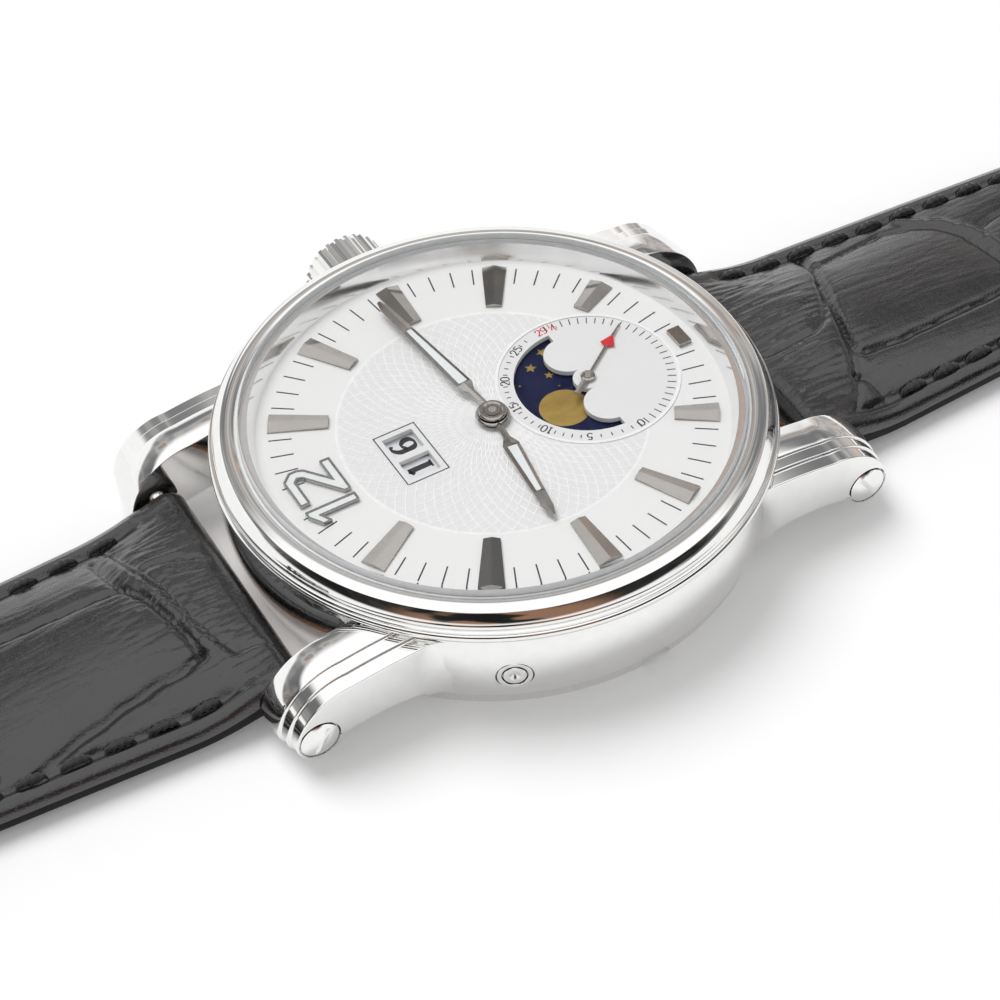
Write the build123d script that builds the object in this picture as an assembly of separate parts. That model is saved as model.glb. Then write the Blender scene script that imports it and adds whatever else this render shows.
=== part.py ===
from build123d import *
import math
import os

# A moon phase wristwatch that lies on its back, in millimetres.
# Z = 0 is the flat back of the case, +Z points out of the dial,
# +Y points to 12 o'clock and +X points to 3 o'clock, where the crown is.

# Case heights, from the back up
BACK_LIP = 1.0          # height of the case back's visible rim
BACK_SEAT = 2.4         # how far the screwed back reaches into the case
FLANGE_LOW = 7.75       # underside of the thin ring below the bezel
DIAL_LOW = 8.1
DIAL_THICK = 0.4
DIAL_TOP = DIAL_LOW + DIAL_THICK
BEZEL_STEP = 0.3        # height of the bezel's small foot
BEZEL_TOP = 10.15
CRYSTAL_SEAT = 9.9

# The balance, whose reach sets the main plate's size
BALANCE_X = -8.0
BALANCE_Y = -6.6
BALANCE_R = 4.2
BALANCE_MARGIN = 0.5289 # from the balance's rim to the plate's edge
PLATE_R = math.hypot(BALANCE_X, BALANCE_Y) + BALANCE_R + BALANCE_MARGIN

# Case radii, from the movement out
HOLDER_WALL = 3.5       # width of the ring around the movement
CASE_WALL = 2.2
CASE_BULGE = 0.4
CASE_BULGE_SHARE = 0.5  # share of the case height where the bulge is widest
CASE_DRAFT = 0.35       # how far the wall draws in towards the back
BACK_STEP = 0.25
BACK_SHOULDER = 0.8     # shoulder of the case that the back's thread turns in
FLANGE_PROUD = 0.25
FLANGE_EDGE = 0.25      # how far the flange ring's edge is rounded out
FOOT_INSET = 0.15
BEZEL_INSET = 0.2
BEZEL_ROLL = 0.9        # width of the band that turns over to the bezel's top
BEZEL_FLAT = 0.95       # width of the bezel's top
CAVITY_R = PLATE_R + HOLDER_WALL
CASE_TOP_R = CAVITY_R + CASE_WALL
CASE_BULGE_R = CASE_TOP_R + CASE_BULGE
CASE_FOOT_R = CASE_TOP_R - CASE_DRAFT
BACK_R = CASE_FOOT_R - BACK_STEP
THREAD_R = CAVITY_R - BACK_SHOULDER
FLANGE_R = CASE_BULGE_R + FLANGE_PROUD
FOOT_R = FLANGE_R - FOOT_INSET
BEZEL_R = FOOT_R - BEZEL_INSET
BEZEL_CROWN_R = BEZEL_R - BEZEL_ROLL
BEZEL_BORE_R = BEZEL_CROWN_R - BEZEL_FLAT
BEZEL_CROWN = 0.08      # crown of the bezel's polished top
BEZEL_BELLY_SHARE = 0.72

# Crystal, rehaut and dial
CRYSTAL_GAP = 0.05
CRYSTAL_R = BEZEL_BORE_R - CRYSTAL_GAP
CRYSTAL_WALL = 0.55     # straight edge above the seat
CRYSTAL_BEVEL = 0.3
CRYSTAL_DOME = 1.1      # rise of the dome above the bevel
CRYSTAL_THICK = 1.0
GASKET_WIDE = 0.35
GASKET_HIGH = 0.7
REHAUT_WALL = 0.6       # at its top
REHAUT_SLOPE = 0.5      # how far its polished face leans out
REHAUT_OUT_R = BEZEL_BORE_R - GASKET_WIDE
REHAUT_TOP_R = REHAUT_OUT_R - REHAUT_WALL
REHAUT_LOW_R = REHAUT_TOP_R - REHAUT_SLOPE
DIAL_GAP = 0.2
DIAL_R = CAVITY_R - DIAL_GAP

# Back glass and gasket
BACK_RIM = 3.3          # width of the back's threaded ring around its glass
GLASS_R = THREAD_R - BACK_RIM
GLASS_THICK = 1.2
BACK_GASKET_ROOM = 0.2
BACK_GASKET_SIDE = 0.05
BACK_GASKET_IN = THREAD_R + BACK_GASKET_ROOM
BACK_GASKET_OUT = CAVITY_R - BACK_GASKET_SIDE
BACK_GASKET_HIGH = 0.6
BACK_RING_TOP = 1.6
NOTCH_COUNT = 6
NOTCH_WIDE = 2.4
NOTCH_DEEP = 0.7
NOTCH_FIRST = 25.0

# Lugs, bars and lug screws
LUG_IN = 11.1           # half the gap between two lugs
LUG_BAND = 2.7          # width of the polished top band
LUG_RIDGE = 1.0         # width of the middle ridge
LUG_FLANK = 1.1         # width of the outer flank layer
LUG_STEP = 0.25         # height of each step
BAR_CLEAR = 2.1         # from the case's widest part to the bar
BAR_Y = CASE_BULGE_R + BAR_CLEAR
BAR_Z = 2.6
BAR_R = 0.9
BAR_FIT = 0.02
BULB_R = 1.8            # round tip of a lug around its screw
LUG_OUT = LUG_IN + LUG_BAND + LUG_RIDGE + LUG_FLANK
LUG_ROOT_BACK = 9.8     # how far a lug's root reaches back from its bar
LUG_ROOT_Y = BAR_Y - LUG_ROOT_BACK
LUG_ROOT_TOP = 7.22
LUG_ROOT_LOW = 1.95
LUG_ARCH = 0.55         # rise of the hollow under a lug
LUG_SHOULDER_BACK = 3.1
LUG_SHOULDER_Y = BAR_Y - LUG_SHOULDER_BACK
LUG_SHOULDER_DROP = 0.55
LUG_BROW = 0.55         # how far the top curve stands out of its chord
SCREW_R = 1.5
SCREW_FIT = 0.06
SCREW_SINK = 0.55
SCREW_PROUD = 0.45
SCREW_SLOT = 0.38
SCREW_SLOT_DEEP = 0.3
SCREW_SHANK_R = 0.4
SCREW_SHANK = 3.0
SCREW_TURN = 35.0       # how far a tightened slot is turned, in degrees

# Dial openings
CENTRE_HOLE_R = 1.0
SUB_Y = -8.3            # centre of the seconds and moon sub-dial
SUB_RING_R = 6.95
SUB_RING_WIDE = 0.22
SUB_RING_HIGH = 0.08
SECONDS_HOLE_R = 0.32
MOON_ARC_R = 5.65
HUMP_R = 1.87
HUMP_X = 3.0
HUB_CLEAR_R = 1.15
MOON_BASE = 0.15        # the horns' ends above the sub-dial centre
WINDOW_WIDE = 2.05
WINDOW_HIGH = 2.5
WINDOW_X = 1.33
WINDOW_Y = 6.95

# Applied markers
MARK_GAP = 0.9          # from the markers to the rehaut
MARK_LONG = 4.55
MARK_SHORT = 3.35
SHORT_HOURS = (5, 7)    # these batons stop short of the sub-dial
MARK_OUT = REHAUT_LOW_R - MARK_GAP
MARK_IN = MARK_OUT - MARK_LONG
MARK_SHORT_IN = MARK_OUT - MARK_SHORT
MARK_WIDE_OUT = 1.95
MARK_WIDE_IN = 1.25
MARK_WALL = 0.12
MARK_HIGH = 0.36
STUB_GAP = 0.8
STUB_LONG = 1.05
STUB_OUT = REHAUT_LOW_R - STUB_GAP
STUB_IN = STUB_OUT - STUB_LONG
STUB_WIDE = 1.9
FIGURE_HIGH = 0.3
FIGURE_STROKE = 0.72
FIGURE_RIM = 0.13
FIGURE_LUME = 0.22
FIGURE_GAP = 1.3        # from the numeral to the rehaut
FIGURE_TALL = 4.0
FIGURE_TOP = REHAUT_LOW_R - FIGURE_GAP
FIGURE_LOW = FIGURE_TOP - FIGURE_TALL
ONE_X = -1.92
ONE_FLAG = 0.75
TWO_LEFT = -0.86
TWO_RIGHT = 3.0

# Hands
HAND_THICK = 0.2
HOUR_HAND_LOW = 8.95
MINUTE_HAND_LOW = 9.3
HOUR_SHORT = 0.95       # from the hour hand's tip to the markers' inner ends
MINUTE_SHORT = 1.7      # from the minute hand's tip to their outer ends
HOUR_LENGTH = MARK_IN - HOUR_SHORT
MINUTE_LENGTH = MARK_OUT - MINUTE_SHORT
HOUR_HUB_R = 1.3
MINUTE_HUB_R = 1.1
HAND_NECK = 0.5
HAND_NECK_END = 2.7
HAND_SHOULDER = 3.5
HAND_WIDE = 1.3
HAND_TIP_WIDE = 0.62
HAND_TIP = 0.9
HAND_RIM = 0.22
LUME_THICK = 0.14
HOUR_ANGLE = 277.0      # degrees clockwise from 12
MINUTE_ANGLE = 84.0
SECONDS_ANGLE = 144.0
SECONDS_LOW = 8.66
SECONDS_THICK = 0.12
SECONDS_HUB_R = 0.57
SECONDS_LENGTH = 6.2
NEEDLE_WIDE = 0.2
ARROW_BACK = 3.55
ARROW_FRONT = 4.75
ARROW_WIDE = 1.15
TAIL_LENGTH = 2.05
TAIL_WIDE = 0.5

# Moon and date discs under the dial
DISC_THICK = 0.16
MOON_DISC_R = 5.9
MOON_DISC_LOW = 7.8
DATE_DISC_LOW = 7.5
DATE_DISC_R = 5.3
DATE_DISC_X = 5.5
POST_R = 0.4
POST_FIT = 0.04
HUB_HIGH = 0.5
HUB_R = 1.0

# Movement plates
PLATE_LOW = 5.5
PLATE_TOP = 6.8
BRIDGE_LOW = 3.0
BRIDGE_THICK = 0.6
BRIDGE_INSET = 0.5
BRIDGE_R = PLATE_R - BRIDGE_INSET
BRIDGE_GAP = 0.3        # saw cut between the bridges
TRAIN_PILLAR_ANGLES = (265, 300, 340)   # the bridges' feet, in degrees from +X to +Y
BARREL_PILLAR_ANGLES = (12, 95, 150)
PILLAR_R = 0.9
PILLAR_EDGE = 0.3       # from a foot to the bridge's edge
HOLDER_GAP = 0.05
HOLDER_LOW = 3.0
JEWEL_R = 0.7
JEWEL_THICK = 0.4
JEWEL_FIT = 0.03
BRIDGE_SCREW_R = 0.75
BRIDGE_SCREW_PROUD = 0.2

# Wheels: place, radius and height of each
TOOTH = 0.14
CENTRE_TEETH = 64
CENTRE_LEAVES = 12
BARREL_TEETH = 76
THIRD_TEETH = 60
FOURTH_TEETH = 80
ESCAPE_TEETH = 20
HOUR_TEETH = 48
PINION_LEAVES = 8
WINDING_TEETH = 14
PIVOT_R = 0.15
PIVOT_SINK = 0.4
PINION_R = 0.6
MESH = 0.06             # running gap between a wheel and its pinion
WHEEL_THICK = 0.14
WHEEL_RIM_SHARE = 1 / 6
WHEEL_HUB_SHARE = 1 / 5
WHEEL_ARM_SHARE = 1 / 8
CENTRE_R = 4.6
CENTRE_LOW = 3.9
CENTRE_ARBOR_R = 0.3
CENTRE_PINION_R = 0.85
BARREL_R = 5.75
BARREL_LOW = 4.62
BARREL_GEAR = 0.25
BARREL_DRUM_R = 5.3
BARREL_HIGH = 0.76
BARREL_ANGLE = 40.0
THIRD_R = 3.7
THIRD_LOW = 4.3
THIRD_PINION_LOW = 3.85
FOURTH_R = 3.0
FOURTH_LOW = 4.77
FOURTH_ARBOR_R = 0.22
FOURTH_PINION_LOW = 4.22
ESCAPE_R = 2.0
ESCAPE_LOW = 4.25
ESCAPE_PINION_R = 0.45
ESCAPE_ANGLE = 200.0
BALANCE_RIM = 0.55
BALANCE_LOW = 3.72
BALANCE_THICK = 0.32
FORK_SHARE = 0.42       # place of the pallet fork from escape wheel to balance
FORK_LOW = 4.62
FORK_WIDE = 0.4
FORK_LONG = 2.5         # the lever reaches for the balance's staff
FORK_DROP = 0.3         # its shaft ends above the balance's rim
COCK_WIDE = 3.2
COCK_ARM = 4.5          # from the balance's staff to the cock's foot
COCK_FOOT = 3.4
COCK_LOW = BALANCE_Y + COCK_ARM
COCK_TOP = COCK_LOW + COCK_FOOT
COCK_RIGHT = BALANCE_X + COCK_WIDE / 2
SPLIT_CLEAR = 0.45
BRIDGE_SPLIT_Y = COCK_TOP + SPLIT_CLEAR     # the saw cut runs above the centre jewel
HOUR_WHEEL_R = 3.0
HOUR_PIPE_R = 0.9
HOUR_PIPE_BORE = 0.65
HOUR_WHEEL_LOW = 7.1
CANNON_R = 0.6
CANNON_LOW = 6.88

# Rotor
ROTOR_INSET = 1.0
ROTOR_RIM = 2.5
ROTOR_R = PLATE_R - ROTOR_INSET
ROTOR_WEB_R = ROTOR_R - ROTOR_RIM
ROTOR_LOW = 1.72
ROTOR_HIGH = 0.95
ROTOR_WEB_LOW = 2.1
ROTOR_WEB = 0.35
ROTOR_HUB_R = 2.3
BEARING_R = 1.5
BEARING_FIT = 0.05
BEARING_LOW = 1.9
BEARING_LIP = 0.2       # the flange that keeps the rotor on
ROTOR_CUT_R = 2.6
ROTOR_CUT_SPREAD = 34.0

# Crown and stem
STEM_Z = 4.9
STEM_R = 0.45
STEM_REACH = 4.1        # how far the stem runs in under the main plate
STEM_END = 0.3          # the part of the stem inside its pinion's end
STEM_IN = PLATE_R - STEM_REACH
PINION_OUT_R = 1.1
PINION_IN_X = STEM_IN + STEM_END
PINION_LENGTH = 2.0
KEYLESS_ROOM = 0.25
CROWN_R = 3.4
CROWN_GAP = 0.5         # from the case to the crown when it is pushed in
CROWN_IN_X = CASE_BULGE_R + CROWN_GAP
CROWN_LENGTH = 3.9
CROWN_DOME = 0.5
CROWN_FLUTES = 26
CROWN_FLUTE = 0.24
CROWN_LAND_SHARE = 0.35 # half a ridge, of the step from ridge to groove
CROWN_RECESS = 1.9
TUBE_R = 1.1
TUBE_BORE = 0.55
TUBE_PROUD = 1.2        # how far the tube reaches into the crown
TUBE_INSET = 0.1
TUBE_OUT_X = CROWN_IN_X + TUBE_PROUD
TUBE_IN_X = CAVITY_R + TUBE_INSET

# Corrector pusher in the case flank
CORRECTOR_ANGLE = 296.0
CORRECTOR_Z = 3.9
CORRECTOR_RING_R = 1.4
CORRECTOR_HEAD_R = 0.9
CORRECTOR_FIT = 0.05
CORRECTOR_SUNK = 0.05
CORRECTOR_DEEP = 1.3    # depth of its counterbore
CORRECTOR_INSIDE = 0.3  # how far its shank shows inside the case
CORRECTOR_FACE = CASE_BULGE_R - CORRECTOR_SUNK
CORRECTOR_SEAT = CASE_BULGE_R - CORRECTOR_DEEP
CORRECTOR_HEAD = 0.55
CORRECTOR_SHANK_R = 0.35
CORRECTOR_END = CAVITY_R - CORRECTOR_INSIDE
CORRECTOR_DIMPLE = 0.4
CORRECTOR_DIMPLE_DEEP = 0.2

# Straps
STRAP_WIDE = 21.9
STRAP_END_WIDE = 18.0
STRAP_FIT = 0.05
ROLL_R = 1.72
STRAP_LOW = 0.12
STRAP_EDGE = 2.5        # thickness of a strap at its rolled edge
STRAP_CROWN = 4.95      # height of the padding near the lugs
STRAP_FLAT = 3.2        # height of the crown where the padding ends
STRAP_ROUND = 1.0
STRAP_PAD = 5.7         # lengths from the bar
STRAP_MID = 22.7
STRAP_TAPER = 42.7
BUCKLE_STRAP = 75.0
HOLE_STRAP = 115.0
STRAP_PAD_Y = BAR_Y + STRAP_PAD
STRAP_MID_Y = BAR_Y + STRAP_MID
STRAP_TAPER_Y = BAR_Y + STRAP_TAPER
BUCKLE_END_LOW = 1.25
BUCKLE_END_THICK = 2.6
TIP_THICK = 2.4
HOLE_COUNT = 7
HOLE_R = 0.85
HOLE_PITCH = 6.5
HOLE_FIRST = 28.0       # from the strap's tip to the first hole

# Keepers and buckle
KEEPER_WALL = 0.8
KEEPER_WIDE = 5.0
KEEPER_SIDE = 0.2
KEEPER_ROOM = 2.6       # room over the strap for the other strap
FIXED_KEEPER_BACK = 10.5
FREE_KEEPER_BACK = 24.0
BUCKLE_BAR_R = 0.6
BUCKLE_SIDE = 0.3
BUCKLE_ARM = 1.9
BUCKLE_LONG = 13.0
BUCKLE_FRONT = 2.6
BUCKLE_THICK = 2.0
BUCKLE_BACK = 1.7
BUCKLE_CORNER = 2.2
TANG_WIDE = 1.9
TANG_THICK = 0.85
TANG_RING_R = 1.2
TANG_SLOT_SIDE = 0.2
TANG_SLOT_LONG = 4.2
TANG_LIFT = 0.06        # gap between the tang and the buckle's front

OVERRUN = 1.0           # how far a cutting solid runs past what it cuts
BASE = (Align.CENTER, Align.CENTER, Align.MIN)


def disc(radius, low, high):
    return Pos(0, 0, low) * Cylinder(radius, high - low, align=BASE)


def ring(outer, inner, low, high):
    hole = disc(inner, low - OVERRUN, high + OVERRUN)
    return disc(outer, low, high) - hole


def turned(*edges):
    """Turn a half profile of (radius, height) edges about Z."""
    return revolve(Plane.XZ * make_face(Curve() + list(edges)), Axis.Z)


def path(*points):
    return Polyline(*points)


def cap_arc(edge_r, edge_z, peak):
    """A round cap's half profile, from its edge in to the axis."""
    rise = peak - edge_z
    sphere = (edge_r ** 2 + rise ** 2) / (2 * rise)
    middle = peak - sphere + math.sqrt(sphere ** 2 - edge_r ** 2 / 4)
    return ThreePointArc((edge_r, edge_z), (edge_r / 2, middle), (0, peak))


def prism(points, low, high):
    """A closed outline in plan, between two heights."""
    outline = make_face(Polyline(*points, close=True))
    return Pos(0, 0, low) * extrude(outline, high - low)


def clock(degrees):
    """Turn a piece drawn along +Y to a clock angle."""
    return Rot(0, 0, -degrees)


def along_x(radius, start, end, y, z):
    bar = Cylinder(radius, end - start, align=BASE)
    return Pos(start, y, z) * Rot(0, 90, 0) * bar


def mirrored_y(solid):
    return mirror(solid, Plane.XZ)


def mirrored_x(solid):
    return mirror(solid, Plane.YZ)


# Case

def lug_outline(step):
    """Side view of a lug, grown by a step, as a face in (y, z)."""
    bulb = BULB_R + step
    dip = LUG_ROOT_LOW - step
    low_y = BAR_Y - math.sqrt(bulb ** 2 - (BAR_Z - dip) ** 2)
    tip_y = BAR_Y + bulb
    root_top = LUG_ROOT_TOP + step
    shoulder = (LUG_SHOULDER_Y, root_top - LUG_SHOULDER_DROP)
    belly = ((LUG_ROOT_Y + low_y) / 2, dip + LUG_ARCH)
    brow_y = (tip_y + LUG_SHOULDER_Y) / 2 + LUG_BROW
    brow_z = (BAR_Z + shoulder[1]) / 2 + 2 * LUG_BROW
    neck = ((LUG_SHOULDER_Y + LUG_ROOT_Y) / 2, root_top - LUG_SHOULDER_DROP / 4)
    edges = [
        ThreePointArc((LUG_ROOT_Y, dip), belly, (low_y, dip)),
        ThreePointArc((low_y, dip), (BAR_Y, BAR_Z - bulb), (tip_y, BAR_Z)),
        ThreePointArc((tip_y, BAR_Z), (brow_y, brow_z), shoulder),
        ThreePointArc(shoulder, neck, (LUG_ROOT_Y, root_top)),
        Line((LUG_ROOT_Y, root_top), (LUG_ROOT_Y, dip)),
    ]
    return make_face(Curve() + edges)


def lug():
    """One lug at 12 o'clock on the crown's side: a top band and two lower layers."""
    layers = (
        (2 * LUG_STEP, LUG_IN, LUG_BAND),
        (LUG_STEP, LUG_IN + LUG_BAND, LUG_RIDGE),
        (0, LUG_IN + LUG_BAND + LUG_RIDGE, LUG_FLANK),
    )
    solid = None
    for step, start, width in layers:
        layer = Pos(start, 0, 0) * extrude(Plane.YZ * lug_outline(step), width)
        solid = layer if solid is None else solid + layer
    hole = along_x(BAR_R + BAR_FIT, LUG_IN - OVERRUN, LUG_OUT + OVERRUN, BAR_Y, BAR_Z)
    sink = along_x(SCREW_R + SCREW_FIT, LUG_OUT - SCREW_SINK, LUG_OUT + OVERRUN, BAR_Y, BAR_Z)
    return solid - hole - sink


def corrector_place(solid):
    """Move a piece drawn along +Z from the case axis to the corrector's bore."""
    return clock(CORRECTOR_ANGLE) * Pos(0, 0, CORRECTOR_Z) * Rot(-90, 0, 0) * solid


def mid_case():
    bulge_z = BACK_LIP + (FLANGE_LOW - BACK_LIP) * CASE_BULGE_SHARE
    foot = (CASE_FOOT_R, BACK_LIP)
    top = (CASE_TOP_R, FLANGE_LOW)
    body = turned(
        Line((0, BACK_LIP), foot),
        ThreePointArc(foot, (CASE_BULGE_R, bulge_z), top),
        Line(top, (0, FLANGE_LOW)),
        Line((0, FLANGE_LOW), (0, BACK_LIP)),
    )
    right = lug()
    left = mirrored_x(right)
    for piece in (right, left, mirrored_y(right), mirrored_y(left)):
        body = body + piece
    body = body - disc(CAVITY_R, BACK_SEAT, FLANGE_LOW + OVERRUN)
    body = body - disc(CAVITY_R, BACK_LIP - OVERRUN, BACK_RING_TOP)
    body = body - disc(THREAD_R, BACK_LIP - OVERRUN, BACK_SEAT + OVERRUN)
    body = body - along_x(TUBE_R, CAVITY_R - OVERRUN, CROWN_IN_X + OVERRUN, 0, STEM_Z)
    flank = CASE_BULGE_R + OVERRUN
    body = body - corrector_place(disc(CORRECTOR_RING_R, CORRECTOR_SEAT, flank))
    shank = CORRECTOR_SHANK_R + CORRECTOR_FIT
    return body - corrector_place(disc(shank, CAVITY_R - OVERRUN, CORRECTOR_SEAT + OVERRUN))


def flange_ring():
    side = FLANGE_R - FLANGE_EDGE
    middle = (FLANGE_LOW + DIAL_TOP) / 2
    return turned(
        path((CAVITY_R, DIAL_TOP), (CAVITY_R, FLANGE_LOW), (side, FLANGE_LOW)),
        ThreePointArc((side, FLANGE_LOW), (FLANGE_R, middle), (side, DIAL_TOP)),
        Line((side, DIAL_TOP), (CAVITY_R, DIAL_TOP)),
    )


def bezel():
    foot_top = DIAL_TOP + BEZEL_STEP
    crown = (BEZEL_CROWN_R, BEZEL_TOP)
    belly_r = BEZEL_CROWN_R + (BEZEL_R - BEZEL_CROWN_R) * BEZEL_BELLY_SHARE
    belly_z = foot_top + (BEZEL_TOP - foot_top) * BEZEL_BELLY_SHARE
    inner = (BEZEL_BORE_R, BEZEL_TOP)
    top_mid = ((BEZEL_CROWN_R + BEZEL_BORE_R) / 2, BEZEL_TOP + BEZEL_CROWN)
    return turned(
        path(inner, (BEZEL_BORE_R, DIAL_TOP), (FOOT_R, DIAL_TOP), (FOOT_R, foot_top),
             (BEZEL_R, foot_top)),
        ThreePointArc((BEZEL_R, foot_top), (belly_r, belly_z), crown),
        ThreePointArc(crown, top_mid, inner),
    )


def crystal():
    wall = CRYSTAL_SEAT + CRYSTAL_WALL
    shoulder_r = CRYSTAL_R - CRYSTAL_BEVEL
    shoulder_z = wall + CRYSTAL_BEVEL
    peak = shoulder_z + CRYSTAL_DOME
    under = peak - CRYSTAL_THICK
    dome = cap_arc(shoulder_r, shoulder_z, peak)
    hollow = cap_arc(REHAUT_LOW_R, CRYSTAL_SEAT, under)
    return turned(
        path((REHAUT_LOW_R, CRYSTAL_SEAT), (CRYSTAL_R, CRYSTAL_SEAT), (CRYSTAL_R, wall),
             (shoulder_r, shoulder_z)),
        dome, Line((0, peak), (0, under)), hollow,
    )


def crystal_gasket():
    return ring(BEZEL_BORE_R, REHAUT_OUT_R, CRYSTAL_SEAT - GASKET_HIGH, CRYSTAL_SEAT)


def rehaut_ring():
    return turned(path(
        (REHAUT_LOW_R, DIAL_TOP), (REHAUT_OUT_R, DIAL_TOP), (REHAUT_OUT_R, CRYSTAL_SEAT),
        (REHAUT_TOP_R, CRYSTAL_SEAT), (REHAUT_LOW_R, DIAL_TOP)))


def case_back_ring():
    body = ring(BACK_R, GLASS_R, 0, BACK_LIP)
    body = body + ring(BACK_GASKET_IN, GLASS_R, 0, BACK_RING_TOP)
    body = body + ring(THREAD_R, GLASS_R, 0, BACK_SEAT)
    for index in range(NOTCH_COUNT):
        angle = NOTCH_FIRST + index * 360 / NOTCH_COUNT
        notch = Box(NOTCH_WIDE, 2 * NOTCH_DEEP, BACK_LIP)
        body = body - clock(angle) * Pos(0, BACK_R, 0) * notch
    return body


def back_glass():
    return disc(GLASS_R, 0, GLASS_THICK)


def back_gasket():
    return ring(BACK_GASKET_OUT, BACK_GASKET_IN, BACK_LIP, BACK_LIP + BACK_GASKET_HIGH)


def strap_bar(sign):
    length = LUG_OUT - SCREW_SINK
    bar = along_x(BAR_R, -length, length, BAR_Y, BAR_Z)
    for side in (bar_screw_hole(), mirrored_x(bar_screw_hole())):
        bar = bar - side
    return bar if sign > 0 else mirrored_y(bar)


def bar_screw_hole():
    start = LUG_OUT - SCREW_SINK - SCREW_SHANK
    return along_x(SCREW_SHANK_R, start, LUG_OUT, BAR_Y, BAR_Z)


def lug_screws():
    seat = LUG_OUT - SCREW_SINK
    face = LUG_OUT + SCREW_PROUD
    head = Plane.XZ * make_face(Curve() + [
        path((0, 0), (SCREW_R, 0), (SCREW_R, SCREW_SINK)),
        cap_arc(SCREW_R, SCREW_SINK, face - seat),
        Line((0, face - seat), (0, 0))])
    head = revolve(head, Axis.Z)
    slot_low = face - seat - SCREW_SLOT_DEEP
    slot = Pos(0, 0, slot_low) * Box(2 * SCREW_R + OVERRUN, SCREW_SLOT, OVERRUN, align=BASE)
    shank = disc(SCREW_SHANK_R, -SCREW_SHANK, 0)
    screw = (head - Rot(0, 0, SCREW_TURN) * slot) + shank
    screw = Pos(seat, BAR_Y, BAR_Z) * Rot(0, 90, 0) * screw
    other = mirrored_x(screw)
    return Compound(children=[
        piece.solid() for piece in (screw, other, mirrored_y(screw), mirrored_y(other))])


# Dial

def moon_opening():
    """Plan of the two-humped moon window, about the sub-dial's centre."""
    window = Circle(MOON_ARC_R)
    below = Rectangle(2 * MOON_ARC_R + OVERRUN, 2 * MOON_ARC_R,
                      align=(Align.CENTER, Align.MAX))
    window = window - Pos(0, MOON_BASE) * below
    window = window - Pos(HUMP_X, 0) * Circle(HUMP_R)
    window = window - Pos(-HUMP_X, 0) * Circle(HUMP_R)
    return window - Circle(HUB_CLEAR_R)


def dial_plate():
    plate = disc(DIAL_R, DIAL_LOW, DIAL_TOP)
    low = DIAL_LOW - OVERRUN
    deep = DIAL_THICK + 2 * OVERRUN
    plate = plate - disc(CENTRE_HOLE_R, low, low + deep)
    plate = plate - Pos(0, SUB_Y, 0) * disc(SECONDS_HOLE_R, low, low + deep)
    plate = plate - Pos(0, SUB_Y, low) * extrude(moon_opening(), deep)
    for side in (-1, 1):
        window = Box(WINDOW_WIDE, WINDOW_HIGH, deep, align=BASE)
        plate = plate - Pos(side * WINDOW_X, WINDOW_Y, low) * window
    return plate


def subdial_ring():
    half = SUB_RING_WIDE / 2
    band = ring(SUB_RING_R + half, SUB_RING_R - half, DIAL_TOP, DIAL_TOP + SUB_RING_HIGH)
    return Pos(0, SUB_Y, 0) * band


def baton(inner):
    """A faceted baton along +Y that is wider at its outer end."""
    wide_in = MARK_WIDE_IN / 2
    wide_out = MARK_WIDE_OUT / 2
    low = DIAL_TOP
    high = DIAL_TOP + MARK_HIGH
    plan = prism([(-wide_in, inner), (wide_in, inner), (wide_out, MARK_OUT),
                  (-wide_out, MARK_OUT)], low, high)
    roof = Plane.XZ * make_face(Polyline(
        (-wide_out, low), (wide_out, low), (wide_out, low + MARK_WALL), (0, high),
        (-wide_out, low + MARK_WALL), close=True))
    roof = extrude(roof, -2 * MARK_OUT)
    return plan & roof


def hour_markers():
    solids = []
    for hour in range(1, 12):
        if hour == 6:
            continue
        inner = MARK_SHORT_IN if hour in SHORT_HOURS else MARK_IN
        solids.append((clock(30 * hour) * baton(inner)).solid())
    middle = (STUB_IN + STUB_OUT) / 2
    stub = Box(STUB_WIDE, STUB_OUT - STUB_IN, MARK_HIGH, align=BASE)
    solids.append((Pos(0, -middle, DIAL_TOP) * stub).solid())
    return Compound(children=solids)


def figure_one(grow):
    """The numeral one, its outline drawn in by the rim where grow is negative."""
    half = FIGURE_STROKE / 2 + grow
    top = FIGURE_TOP + grow
    low = FIGURE_LOW - grow
    flag_x = ONE_X - FIGURE_STROKE / 2 - ONE_FLAG - grow
    flag_top = FIGURE_TOP - ONE_FLAG / 2
    flag_low = flag_top - FIGURE_STROKE
    return [(ONE_X - half, low), (ONE_X + half, low), (ONE_X + half, top),
            (ONE_X - half, top), (flag_x, flag_top + grow), (flag_x, flag_low - grow),
            (ONE_X - half, flag_low + FIGURE_STROKE / 4 - grow)]


def figure_two(grow):
    """The numeral two as one closed outline around its stroke."""
    left = TWO_LEFT - grow
    right = TWO_RIGHT + grow
    top = FIGURE_TOP + grow
    low = FIGURE_LOW - grow
    bar_in = FIGURE_TOP - FIGURE_STROKE - grow
    foot_in = FIGURE_LOW + FIGURE_STROKE + grow
    corner = FIGURE_STROKE
    waist_out = (FIGURE_TOP + FIGURE_LOW) / 2 + FIGURE_STROKE / 2
    inner_right = TWO_RIGHT - FIGURE_STROKE - grow
    return [(left, low), (right, low), (right, foot_in),
            (TWO_LEFT + 2 * FIGURE_STROKE + grow, foot_in), (right, waist_out - grow),
            (right, top - corner), (right - corner, top), (left, top), (left, bar_in),
            (inner_right - corner / 2, bar_in), (inner_right, bar_in - corner / 2),
            (inner_right, waist_out + grow / 2), (left, foot_in + grow)]


def numeral_twelve():
    solids = []
    for figure in (figure_one, figure_two):
        body = prism(figure(0), DIAL_TOP, DIAL_TOP + FIGURE_HIGH)
        well = prism(figure(-FIGURE_RIM), DIAL_TOP + FIGURE_HIGH - FIGURE_LUME,
                     DIAL_TOP + FIGURE_HIGH + OVERRUN)
        solids.append((body - well).solid())
    return Compound(children=solids)


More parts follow.
